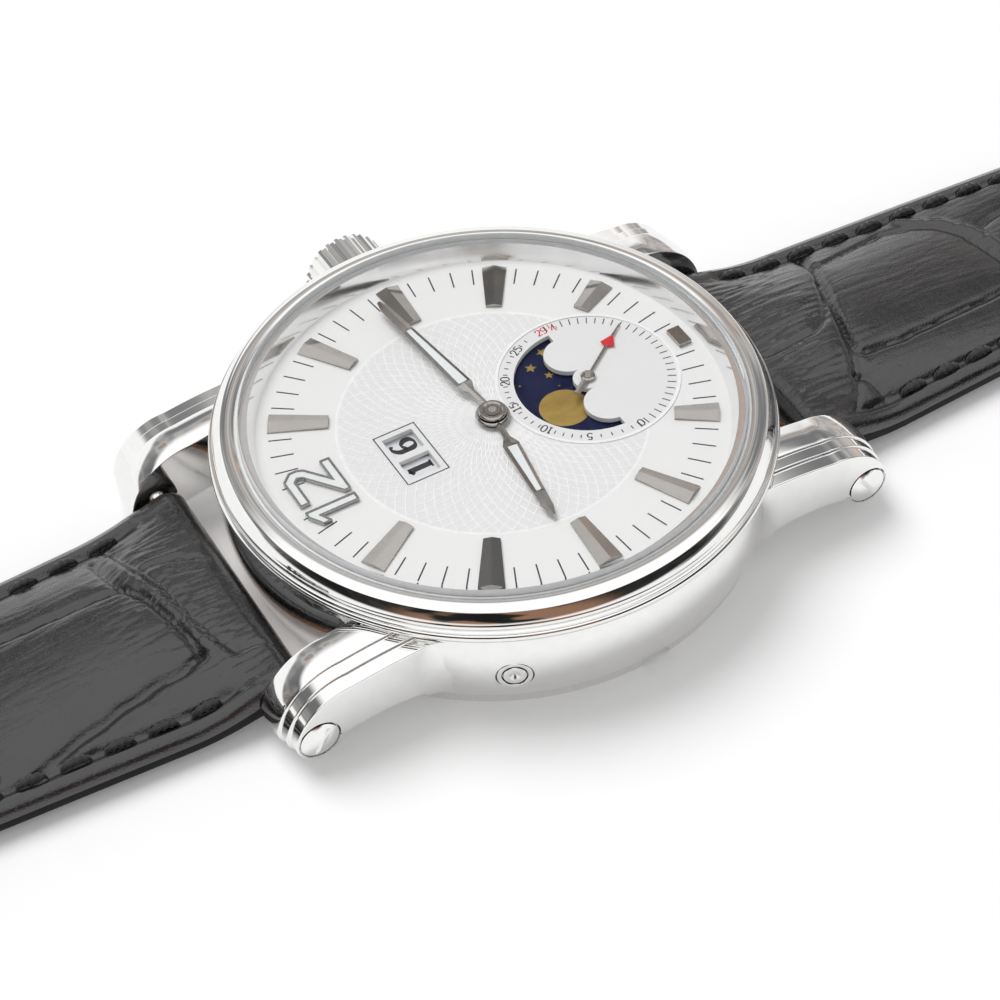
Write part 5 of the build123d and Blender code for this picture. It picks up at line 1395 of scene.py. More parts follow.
class WATCH_OT_date(bpy.types.Operator):
    """Lay a card on each of the two date discs, and print its figures"""
    bl_idname = "watch.date"
    bl_label = "Date discs"

    def execute(self, context):
        settings = context.scene.watch_dial
        finish_node(paint("date_silver", (0.84, 0.85, 0.86), 0.4), "date_units_disc",
                    "date_tens_disc")
        height = settings.print_high / MM
        card = paint("date_card", (0.8, 0.82, 0.84), 0.35)
        profile = oblong(0.0, DATE_TOP, DATE_DISC_R, DATE_CARD_TOP)
        for body, x, _, _ in DATE_DISCS:
            blank = Blank()
            blank.turn(profile, x=x, y=DATE_Y, steps=120)
            make_piece(body + "_card", blank, [card], body)
        for body, x, window, figures in DATE_DISCS:
            blank = Blank()
            for index, figure in enumerate(figures):
                turn = 360.0 / len(figures) * index
                self.print_figure(blank, figure, x, window + turn, turn, height)
            make_piece(body + "_print", blank, [FINISHES["ink"]], body)
        return {"FINISHED"}

    def print_figure(self, blank, figure, middle_x, degrees, turn, height):
        window = polar(DATE_ORBIT, math.radians(degrees), middle_x, DATE_Y)
        x, y = clock([DATE_SHIFT], -turn, *window)[0]
        add_figure(blank, figure, upright(x, y, -turn), DATE_FIGURE, DATE_PEN, DATE_CARD_TOP,
                   DATE_CARD_TOP + height)


class WATCH_OT_movement(bpy.types.Operator):
    """Finish the movement that shows through the back"""
    bl_idname = "watch.movement"
    bl_label = "Movement"

    def execute(self, context):
        nickel = striped_nickel("striped_nickel", (0.72, 0.72, 0.7))
        finish_node(nickel, "train_bridge", "barrel_bridge", "balance_cock", "rotor")
        plate = brushed("plate_nickel", (0.66, 0.66, 0.64), 0.3, (1.0, 1.0, 1.0))
        finish_node(plate, "main_plate", "movement_ring", "disc_posts")
        bright = steel("movement_steel", (0.7, 0.7, 0.69), 0.1)
        finish_node(bright, "bridge_screws", "rotor_bearing", "winding_pinion", "pallet_fork",
                    "escape_wheel")
        brass = gilt("gilt_brass", (0.8, 0.58, 0.24), (0.6, 0.57, 0.54), DATE_TOP)
        finish_node(brass, "barrel", "centre_wheel", "hour_wheel", "third_wheel",
                    "fourth_wheel", "balance_wheel")
        finish_node(FINISHES["hand"], "cannon_pinion")
        ruby = Finish("ruby", (0.6, 0.01, 0.06), 0.06)
        ruby.set("Transmission Weight", 0.6)
        ruby.set("IOR", 1.76)
        ruby.tint(ruby.speckle(2.0, 3.0), ((0.3, (0.5, 0.0, 0.04)), (0.7, (0.75, 0.02, 0.1))))
        finish_node(ruby.material, "jewels")
        return {"FINISHED"}


# Straps

# Creases of the large scales, measured from the case outwards as (x, distance) points,
# each with its width and depth. The farther rows come from grain_rows.
SHORT_CREASES = (
    ([(2.8, 29.8), (3.1, 31.8), (3.3, 34.5), (3.5, 37.2), (4.0, 41.5)], 0.2, 0.3),
    ([(-5.6, 27.6), (-6.1, 29.0), (-6.1, 31.0), (-6.6, 34.4), (-7.3, 38.0), (-8.2, 41.6)],
     0.34, 0.42),
    ([(7.2, 30.5), (4.6, 30.3), (2.8, 29.8), (1.6, 29.1), (0.2, 28.6), (-2.1, 28.0),
      (-3.9, 27.6), (-5.6, 27.5)], 0.26, 0.3),
    ([(7.2, 28.8), (3.5, 27.8), (1.4, 27.1), (-0.7, 26.8), (-2.9, 26.5), (-5.1, 25.8),
      (-6.6, 25.1)], 0.3, 0.24),
    ([(3.9, 27.3), (3.6, 25.4), (3.0, 23.9), (2.0, 22.6)], 0.16, 0.14),
    ([(-6.6, 25.1), (-6.8, 23.9), (-7.6, 22.4)], 0.16, 0.14),
)
SHORT_RIDGES = (
    ([(7.4, 29.7), (5.0, 29.1), (2.4, 28.4), (-0.6, 27.7), (-3.6, 27.0), (-6.4, 26.1)],
     0.55, 0.2),
    ([(-6.9, 28.5), (-7.0, 31.5), (-7.5, 35.0), (-8.0, 38.0)], 0.3, 0.16),
)
LONG_CREASES = (
    ([(8.1, 33.4), (4.6, 32.9), (1.8, 32.0), (-0.6, 31.1), (-3.9, 30.0), (-6.4, 28.9)],
     0.26, 0.42),
    ([(6.1, 33.6), (3.6, 32.3), (1.0, 31.4), (-2.1, 30.6), (-4.8, 30.2)], 0.18, 0.2),
    ([(3.7, 32.2), (1.4, 31.2), (-0.6, 29.9), (-1.4, 28.2), (-1.5, 26.2), (-1.5, 23.5)],
     0.18, 0.26),
    ([(5.8, 33.8), (6.4, 37.0), (6.9, 40.7), (6.3, 43.4), (5.3, 45.0), (3.1, 46.4),
      (-0.3, 47.0), (-3.2, 47.4)], 0.18, 0.22),
    ([(-4.9, 30.8), (-5.0, 34.3), (-4.6, 38.5), (-4.3, 42.3), (-3.9, 46.0), (-3.2, 47.4)],
     0.22, 0.36),
    ([(3.4, 48.4), (3.8, 49.8), (4.2, 52.4), (5.0, 55.5), (5.8, 58.5)], 0.18, 0.26),
    ([(-6.4, 28.9), (-7.5, 29.6), (-8.6, 30.1)], 0.16, 0.22),
    ([(-6.5, 29.0), (-7.9, 28.1), (-9.3, 26.6)], 0.16, 0.18),
    ([(-4.6, 48.9), (-5.2, 52.0), (-5.4, 55.5), (-5.2, 58.8)], 0.2, 0.28),
)
LONG_RIDGES = (
    ([(7.8, 42.9), (5.4, 46.0), (2.8, 47.7), (-1.0, 48.3), (-4.5, 49.2)], 0.42, 0.22),
    ([(-4.4, 29.6), (-5.6, 29.0)], 0.6, 0.14),
)


def grain_rows(seed, start, end, half):
    """Creases between rows of large scales, from start to end along a strap."""
    random = np.random.default_rng(seed)
    creases = []
    y = start
    while y < end:
        deep = float(random.uniform(0.18, 0.3))
        sway = random.uniform(-0.5, 0.5, 6)
        xs = np.linspace(-half, half, 6)
        creases.append(([(float(x), float(y + s)) for x, s in zip(xs, sway)], 0.2, deep))
        step = float(random.uniform(8.5, 12.0))
        for side in (-1, 1):
            x = side * float(random.uniform(4.6, 5.8))
            bend = random.uniform(-0.4, 0.4, 4)
            ys = np.linspace(y, y + step, 4)
            creases.append(([(float(x + b), float(v)) for b, v in zip(bend, ys)], 0.18, 0.24))
            mid = y + step * float(random.uniform(0.35, 0.65))
            creases.append(([(x, mid), (side * half, mid + float(random.uniform(-0.6, 0.6)))],
                            0.16, 0.16))
        y += step
    return creases


FAR_OFF = 1e9


def distance_to(line, x, y):
    """How far each point is from a bent line."""
    nearest = np.full(x.shape, FAR_OFF)
    for (ax, ay), (bx, by) in zip(line, line[1:]):
        length = (bx - ax) ** 2 + (by - ay) ** 2
        share = np.clip(((x - ax) * (bx - ax) + (y - ay) * (by - ay)) / length, 0, 1)
        reach = np.hypot(x - ax - share * (bx - ax), y - ay - share * (by - ay))
        nearest = np.minimum(nearest, reach)
    return nearest


def rise(value, start, end):
    """0 below start, 1 above end and smooth between them."""
    share = np.clip((value - start) / (end - start), 0, 1)
    return share * share * (3 - 2 * share)


def hump(value, wide):
    """1 at zero, falling off smoothly to both sides."""
    return np.exp(-(value / wide) ** 2)


def field(x, y, fine_x, fine_y, seed):
    """A smooth random value between about -1 and 1 for each point."""
    values = [noise.noise(Vector((a * fine_x, b * fine_y, seed)))
              for a, b in zip(x.ravel(), y.ravel())]
    return np.array(values).reshape(x.shape)


def stations_at(stations, y):
    """Width, underside, edge and crown at a distance, eased between the stations."""
    places, *columns = zip(*stations)
    reach = min(1.0, max(0.0, (y - BAR_Y) / 3.0)) * 1.6
    return [float(np.mean([np.interp(y + shift * reach, places, values)
                           for shift in (-1, -0.5, 0, 0.5, 1)])) for values in columns]


class Strap:
    """The shape of one strap, drawn along +Y. The long one is mirrored when it is made."""

    def __init__(self, settings, stations, creases, ridges, way):
        self.settings = settings
        self.stations = stations
        self.creases = creases
        self.ridges = ridges
        self.way = way

    def section(self, y):
        """Half width, underside, edge and crown at y."""
        if y < BAR_Y:
            lift = math.sqrt(max(ROLL_R ** 2 - (BAR_Y - y) ** 2, 0.0))
            half = STRAP_ROOT[1] / 2
            return half - 0.35 * (1 - lift / ROLL_R), BAR_Z - lift, BAR_Z + lift, BAR_Z + lift
        wide, low, edge, crown = stations_at(self.stations, y)
        return wide / 2, low, edge, crown

    def top(self, x, half, edge, crown):
        """Smooth height of the upper side: flat by the seam, then the padding's crown."""
        inner = half - STRAP_ROUND
        share = np.clip(1 - np.abs(x) / inner, 0, 1)
        flat = self.settings.seam_share
        pad = np.clip((share - flat) / (1 - flat), 0, 1)
        return edge + (crown - edge) * (1 - (1 - pad) ** STRAP_CROWN_POWER)

    def leather(self, x, y, half):
        """How far creases, scales and the seam move the upper side."""
        settings = self.settings
        sewn = rise(y, *SEAM_STARTS)
        inset = half - np.abs(x)
        groove = hump(np.abs(inset - settings.seam_inset / MM), SEAM_WIDE)
        out = -settings.seam_depth / MM * sewn * groove
        bead_inset, bead_high, bead_wide = BEAD
        out += bead_high * sewn * hump(np.abs(inset - bead_inset), bead_wide)
        nearest = np.full(x.shape, FAR_OFF)
        wobble_x = x + WOBBLE * field(x, y, 0.6, 0.6, 3.0)
        wobble_y = y + WOBBLE * field(x, y, 0.6, 0.6, 7.0)
        for line, wide, deep in self.creases:
            reach = distance_to(line, wobble_x, wobble_y)
            out -= deep * settings.crease_depth * hump(reach, wide + CREASE_SPREAD)
            nearest = np.minimum(nearest, reach)
        for line, wide, high in self.ridges:
            reach = distance_to(line, wobble_x, wobble_y)
            pebbles = 1 + PEBBLES * field(x, y, 1.6, 1.6, 11.0)
            out += high * pebbles * hump(reach, wide)
        dip_deep, dip_wide = SCALE_DIP
        out -= dip_deep * rise(y, *SCALE_STARTS) * hump(nearest, dip_wide)
        folds = field(x, y, 1.3, 0.16, 19.0) + 0.5 * field(x, y, 2.6, 0.3, 23.0)
        calm, calm_from, calm_to = FOLDS_CALM
        near_case = 1 - calm * rise(y, calm_from, calm_to)
        out -= settings.fold_depth / MM * near_case * hump(folds, FOLD_WIDE)
        return out


def strap_rows(fine_end, end):
    """Distances of a strap's rows: around the bar, then fine ones and then coarse ones."""
    rows = [BAR_Y - ROLL_R * math.cos(math.radians(angle)) for angle in range(4, 88, 9)]
    y = BAR_Y
    while y < end:
        rows.append(y)
        y += FINE_ROW if y < fine_end else COARSE_ROW
    return rows


def strap_loop(strap, half, low, edge, crown):
    """One closed section of a strap: x and z values, starting under its left edge."""
    middle = (low + edge) / 2
    side_high = (edge - low) / 2
    round_r = min(STRAP_ROUND, side_high)
    inner = half - round_r
    under = [(inner * (1 - 2 * step / UNDER_STEPS), low) for step in range(UNDER_STEPS + 1)]
    left = [(-inner - round_r * math.cos(angle), middle + side_high * math.sin(angle))
            for angle in np.linspace(-math.pi / 2, math.pi / 2, 2 * EDGE_STEPS)[1:-1]]
    right = [(-x, z) for x, z in reversed(left)]
    x = np.linspace(-inner, inner, STRAP_COLUMNS)
    z = strap.top(x, half, edge, crown)
    return under + left, np.column_stack([x, z]), right


def shape_strap(strap, rows, narrow):
    """All sections of a strap as rings of points. narrow shapes its far end."""
    sections = []
    for y in rows:
        half, low, edge, crown = narrow(y, *strap.section(y))
        start, top, end = strap_loop(strap, half, low, edge, crown)
        sections.append((half, start, top, end))
    halves, starts, tops, ends = zip(*sections)
    tops = np.array(tops)
    y, half = (np.repeat(np.array(column)[:, None], STRAP_COLUMNS, axis=1)
               for column in (rows, halves))
    tops[:, :, 1] += strap.leather(tops[:, :, 0], y, half) * rise(y, *LEATHER_STARTS)
    return [[(px, strap.way * place, pz) for px, pz in (*start, *top, *end)]
            for place, start, top, end in zip(rows, starts, tops.tolist(), ends)]


def seam_path(strap, start, end=None):
    """Lines that the stitches follow: one on each side, or without an end one around the tip."""
    inset = strap.settings.seam_inset / MM
    stops = np.arange(start, end or TONGUE_Y, 0.5).tolist()
    right = [(strap.section(y)[0] - inset, y) for y in stops]
    left = [(-x, y) for x, y in right]
    if end:
        return [right, left]
    turn = [polar(STRAP_END_HALF - inset, angle, 0.0, TONGUE_Y)
            for angle in np.linspace(0, math.pi, 60)]
    return [right + turn + left[::-1]]


def add_stitches(blank, strap, line, underside=False):
    """Twisted stitches along a line, each end drawn down into its hole."""
    settings = strap.settings
    pitch, long, thick = (value / MM for value in (
        settings.stitch_pitch, settings.stitch_long, settings.thread_thick))
    points = np.array(line)
    steps = np.hypot(*np.diff(points, axis=0).T)
    run = np.concatenate([[0], np.cumsum(steps)])
    count = int((run[-1] - long) / pitch)
    for index in range(count):
        start = STITCH_FIRST + index * pitch + (pitch / 2 if underside else 0)
        rings = []
        for step in range(STITCH_STATIONS):
            share = step / (STITCH_STATIONS - 1)
            at = start + long * share
            (x, y), (next_x, next_y) = ([float(np.interp(spot, run, axis)) for axis in points.T]
                                        for spot in (at, at + 0.1))
            along = Vector((next_x - x, next_y - y)).normalized()
            _, low, edge, _ = strap.section(y)
            belly = math.sin(math.pi * share) ** 0.45
            radius = thick / 2 * (0.35 + 0.65 * belly)
            if underside:
                z, lift = low, 0.0
            else:
                z = edge - settings.seam_depth / MM * 0.75
                lift = STITCH_LIFT * belly - STITCH_SUNK
            twist = STITCH_TURNS * math.tau * share
            ring = []
            for corner in range(STITCH_CORNERS):
                angle = math.tau * corner / STITCH_CORNERS
                lobe = radius * (0.62 + 0.44 * abs(math.cos(angle + twist)))
                aside = lobe * math.cos(angle)
                up = lobe * math.sin(angle) * (0.3 if underside else 0.9)
                ring.append((x - along.y * aside, strap.way * (y + along.x * aside),
                             z + lift + up))
            rings.append(ring)
        blank.skin(rings, capped=True)


class WATCH_PG_strap(bpy.types.PropertyGroup):
    leather_colour: FloatVectorProperty(
        name="Leather", description="Colour of the straps", default=(0.004, 0.004, 0.005),
        **COLOUR)
    lining_colour: FloatVectorProperty(
        name="Lining", description="Colour of the straps' underside", default=(0.3, 0.13, 0.05),
        **COLOUR)
    thread_colour: FloatVectorProperty(
        name="Thread", description="Colour of the sewing thread", default=(0.007, 0.007, 0.008),
        **COLOUR)
    roughness: FloatProperty(
        name="Leather roughness", description="Roughness of the leather", default=0.2, **SHARE)
    coat: FloatProperty(
        name="Leather dressing", description="Share of the glossy dressing on the leather",
        default=0.65, **SHARE)
    seam_inset: FloatProperty(
        name="Seam inset", description="Distance of the seam from the strap's edge",
        default=1.75 * MM, **LENGTH)
    seam_depth: FloatProperty(
        name="Seam depth", description="Depth of the groove that the stitches lie in",
        default=0.42 * MM, **LENGTH)
    seam_share: FloatProperty(
        name="Flat edge", description="Share of the half width that stays flat by the seam",
        default=0.11, min=0.0, max=0.5, subtype="FACTOR")
    crease_depth: FloatProperty(
        name="Crease depth", description="Share of the creases' full depth", default=0.95,
        min=0.0, max=2.0, subtype="FACTOR")
    fold_depth: FloatProperty(
        name="Fold depth", description="Depth of the fine folds along the strap",
        default=0.07 * MM, **LENGTH)
    stitch_pitch: FloatProperty(
        name="Stitch pitch", description="Distance from stitch to stitch", default=3.3 * MM,
        min=0.5 * MM, unit="LENGTH")
    stitch_long: FloatProperty(
        name="Stitch length", description="Length of one stitch", default=2.45 * MM, min=0.2 * MM,
        unit="LENGTH")
    thread_thick: FloatProperty(
        name="Thread thickness", description="Thickness of the thread", default=0.75 * MM,
        min=0.05 * MM, unit="LENGTH")


class WATCH_OT_straps(bpy.types.Operator):
    """Model both padded leather straps with their creases and seams"""
    bl_idname = "watch.straps"
    bl_label = "Straps"

    def execute(self, context):
        settings = context.scene.watch_strap
        FINISHES["leather"] = leather("strap_leather", settings.leather_colour,
                                      settings.roughness, settings.coat)
        FINISHES["edge"] = edge_paint("edge_paint", settings.leather_colour)
        FINISHES["lining"] = leather("strap_lining", settings.lining_colour, 0.6, 0.0, 0.02,
                                     0.02)
        FINISHES["thread"] = thread("sewing_thread", settings.thread_colour)
        half = STRAP_END_HALF - 1.8
        creases = [*SHORT_CREASES, *grain_rows(5, 44.0, 92.0, half)]
        self.short_strap(Strap(settings, STRAP_SHORT_STATIONS, creases, SHORT_RIDGES, 1))
        creases = [*LONG_CREASES, *grain_rows(9, 59.5, 132.0, half)]
        self.long_strap(Strap(settings, STRAP_LONG_STATIONS, creases, LONG_RIDGES, -1))
        return {"FINISHED"}

    def skinned(self, name, rings, node):
        """A strap with leather above, lining below and paint up its cut edges."""
        blank = Blank()
        blank.skin(rings, capped=True)
        count = len(rings[0])
        for index in range(len(blank.faces)):
            column = index % count
            if column < UNDER_STEPS:
                blank.finishes[index] = 1
            elif column < UNDER_STEPS + EDGE_STEPS or column >= count - EDGE_STEPS:
                blank.finishes[index] = 2
        layers = [FINISHES["leather"], FINISHES["lining"], FINISHES["edge"]]
        return make_piece(name, blank, layers, name, [node], STRAP_SHARP)

    def short_strap(self, strap):
        rows = strap_rows(50.0, BUCKLE_Y)
        rows += [BUCKLE_Y + BUCKLE_ROLL_R * math.sin(math.radians(angle))
                 for angle in range(0, 88, 9)]

        def narrow(y, half, low, edge, crown):
            if y <= BUCKLE_Y:
                return half, low, edge, crown
            lift = math.sqrt(max(BUCKLE_ROLL_R ** 2 - (y - BUCKLE_Y) ** 2, 0.0))
            return half, BUCKLE_Z - lift, BUCKLE_Z + lift, BUCKLE_Z + lift
        piece = self.skinned("strap_short", shape_strap(strap, rows, narrow), "strap_12")
        wide, long = TANG_SLOT
        slot = oblong(-wide / 2, BUCKLE_Y - long / 2, wide / 2, BUCKLE_Y + long / 2)
        cutter = Blank()
        cutter.slab(slot, *THROUGH_STRAP)
        carve(piece, cutter)
        self.sew("stitches_short", strap, seam_path(strap, 27.4, 92.0), "strap_short")

    def long_strap(self, strap):
        rows = strap_rows(60.0, TONGUE_Y)
        rows += [TONGUE_Y + STRAP_END_HALF * math.sin(math.radians(angle))
                 for angle in range(0, 89, 2)]

        def narrow(y, half, low, edge, crown):
            if y > TONGUE_Y:
                half = math.sqrt(max(STRAP_END_HALF ** 2 - (y - TONGUE_Y) ** 2, 0.01))
            return half, low, edge, crown
        piece = self.skinned("strap_long", shape_strap(strap, rows, narrow), "strap_6")
        cutter = Blank()
        for index in range(HOLE_COUNT):
            y = TIP_Y - HOLE_FIRST - index * HOLE_PITCH
            cutter.slab(circle(HOLE_R, 32, 0.0, -y), *THROUGH_STRAP)
        carve(piece, cutter)
        self.sew("stitches_long", strap, seam_path(strap, 26.2), "strap_long")

    def sew(self, name, strap, lines, body):
        blank = Blank()
        for line in lines:
            add_stitches(blank, strap, line)
            add_stitches(blank, strap, line, underside=True)
        make_piece(name, blank, [FINISHES["thread"]], body, sharp=STRAP_SHARP)


class WATCH_OT_keepers(bpy.types.Operator):
    """Model the two leather keepers as bent bands with rounded edges"""
    bl_idname = "watch.keepers"
    bl_label = "Keepers"

    def execute(self, context):
        for node, body in (("fixed_keeper", "strap_short"), ("free_keeper", "keeper")):
            blank = Blank()
            self.band(blank, KEEPER_PLACES[node])
            piece = make_piece(node + "_band", blank, [FINISHES["leather"]], body,
                               [node], 50.0)
        return {"FINISHED"}

    def band(self, blank, y):
        """A closed band around the strap: its room's outline, with the wall set on it."""
        wide, low, high = KEEPER_INSIDE
        inside = eased(oblong(-wide / 2, low, wide / 2, high), 0.7, 5)
        fine = []
        for index, start in enumerate(inside):
            end = inside[(index + 1) % len(inside)]
            cuts = max(1, int(math.dist(start, end) / 0.8))
            fine += [tuple(np.array(start) + (np.array(end) - np.array(start)) * cut / cuts)
                     for cut in range(cuts)]
        half = KEEPER_WIDE / 2
        layers = ((0.0, half - 0.25), (KEEPER_WALL * 0.35, half), (KEEPER_WALL * 0.75, half - 0.05),
                  (KEEPER_WALL, half - 0.4), (KEEPER_WALL, half * 0.3))
        section = [(rise_out, side * reach) for side, order in ((1, layers), (-1, layers[::-1]))
                   for rise_out, reach in order]
        rings = []
        for index, (x, z) in enumerate(fine):
            along = heading(fine, index, closed=True)
            rings.append([(x + along.y * grow, y + aside, z - along.x * grow)
                          for grow, aside in section])
        blank.skin(rings, joined=True)


class WATCH_OT_buckle(bpy.types.Operator):
    """Bend the buckle's frame from a rounded bar and polish its tang"""
    bl_idname = "watch.buckle"
    bl_label = "Buckle"

    def execute(self, context):
        polished = FINISHES["steel"]
        front = BUCKLE_Y + BUCKLE_LONG
        back = BUCKLE_Y - BUCKLE_BACK

        def arch(half, far, corner):
            outline = [(-half, back), (-half, far), (half, far), (half, back)]
            return eased(outline, corner, 10, closed=False)
        outside = arch(BUCKLE_INNER + BUCKLE_ARM, front, BUCKLE_CORNER)
        inside = arch(BUCKLE_INNER, front - BUCKLE_FRONT, BUCKLE_INNER_CORNER)
        rings = []
        for (ox, oy), (ix, iy) in zip(outside, inside):
            wall = Vector((ix - ox, iy - oy, 0))
            corner = Vector((ox, oy, 0))
            ring = []
            for angle in range(0, 360, 20):
                u = 0.5 - 0.5 * self.squared(math.cos(math.radians(angle)))
                v = self.squared(math.sin(math.radians(angle)))
                spot = corner + wall * u
                ring.append((spot.x, spot.y, BUCKLE_Z + v * BUCKLE_THICK / 2))
            rings.append(ring)
        blank = Blank()
        blank.skin(rings, capped=True)
        make_piece("buckle_bow", blank, [polished], "buckle", ["buckle_frame"], 50.0)
        finish_node(polished, "buckle_tang", "buckle_bar")
        return {"FINISHED"}

    def squared(self, value):
        """Push a circle's coordinate out towards a rounded square."""
        return math.copysign(abs(value) ** BUCKLE_SQUARE, value)


# Studio

class WATCH_PG_stage(bpy.types.PropertyGroup):
    floor_colour: FloatVectorProperty(
        name="Floor", description="Colour of the table", default=(0.95, 0.95, 0.95), **COLOUR)
    floor_size: FloatProperty(
        name="Floor size", description="Side of the table", default=3.0, min=0.2, unit="LENGTH")
    floor_glow: FloatProperty(
        name="Floor glow", description="Light added to the table where it is seen or mirrored",
        default=0.1, min=0.0)
    sun: FloatProperty(
        name="Lamp", description="Strength of the overhead lamp", default=1.78, min=0.0)
    sun_spread: FloatProperty(
        name="Lamp spread", description="How large the lamp looks from the watch",
        default=math.radians(38.0), min=0.0, subtype="ANGLE")
    sky: FloatProperty(
        name="Room light", description="Strength of the light from all around", default=0.44,
        min=0.0)
    azimuth: FloatProperty(
        name="Camera azimuth", description="Direction of the camera from the watch",
        default=math.radians(152.67), subtype="ANGLE")
    elevation: FloatProperty(
        name="Camera elevation", description="Height of the camera over the table",
        default=math.radians(46.363), subtype="ANGLE")
    roll: FloatProperty(
        name="Camera roll", description="Turn of the camera about its view",
        default=math.radians(3.403), subtype="ANGLE")
    lens: FloatProperty(
        name="Focal length", description="Lens of the camera in millimetres", default=93.6,
        min=10.0)


CAMERA_REACH = (-0.547, -6.331, 194.525)  # the dial's middle as the camera sees it
CAMERA_AIM_Z = 9.0
TABLE_GAP = 0.01            # keeps the case back from lying in the very face of the table

# What polished surfaces show of the room: places on a noise's scale with their colours, and
# how high the white of the horizon ends and the white ceiling starts, each on the camera's
# side and on the far side
STUDIO_PATCHES = (
    (0.34, (0.2, 0.2, 0.205)), (0.43, (0.3, 0.3, 0.3)), (0.49, (0.5, 0.49, 0.48)),
    (0.54, (0.3, 0.26, 0.23)), (0.57, (0.62, 0.48, 0.39)), (0.6, (0.3, 0.28, 0.27)),
    (0.68, (0.6, 0.6, 0.6)))
STUDIO_CLOUD = {"Scale": 2.6, "Detail": 1.5}
STUDIO_NEAR = 0.06          # brightness of the patches on the camera's side
STUDIO_COPPER = (0.3, 0.17, 0.11)   # what stands behind the camera
STUDIO_WHITE = 1.15
STUDIO_HORIZON = (0.06, 0.5)
STUDIO_EDGE = (0.58, 0.78)
STUDIO_SIX = (0.12, 0.85)   # share of the horizon's white towards 6 o'clock, and elsewhere

# Between which places the studio's parts fade into each other, from -1 on the camera's side,
# or at 6 o'clock, to 1 on the other side
FAR_FADE = (0.0, 0.5)
SIX_FADE = (-0.7, -0.5)
NEAR_FADE = (-0.3, 0.3)
COPPER_FADE = (-0.9, -0.7)
COPPER_CLOUD = (0.44, 0.52)
CEILING_FADE = (-0.06, 0.06)
HORIZON_FADE = (-0.04, 0.04)
LAMP_FROM = (0.48, 0.13, 0.87)
SENSOR_WIDE = 36.0


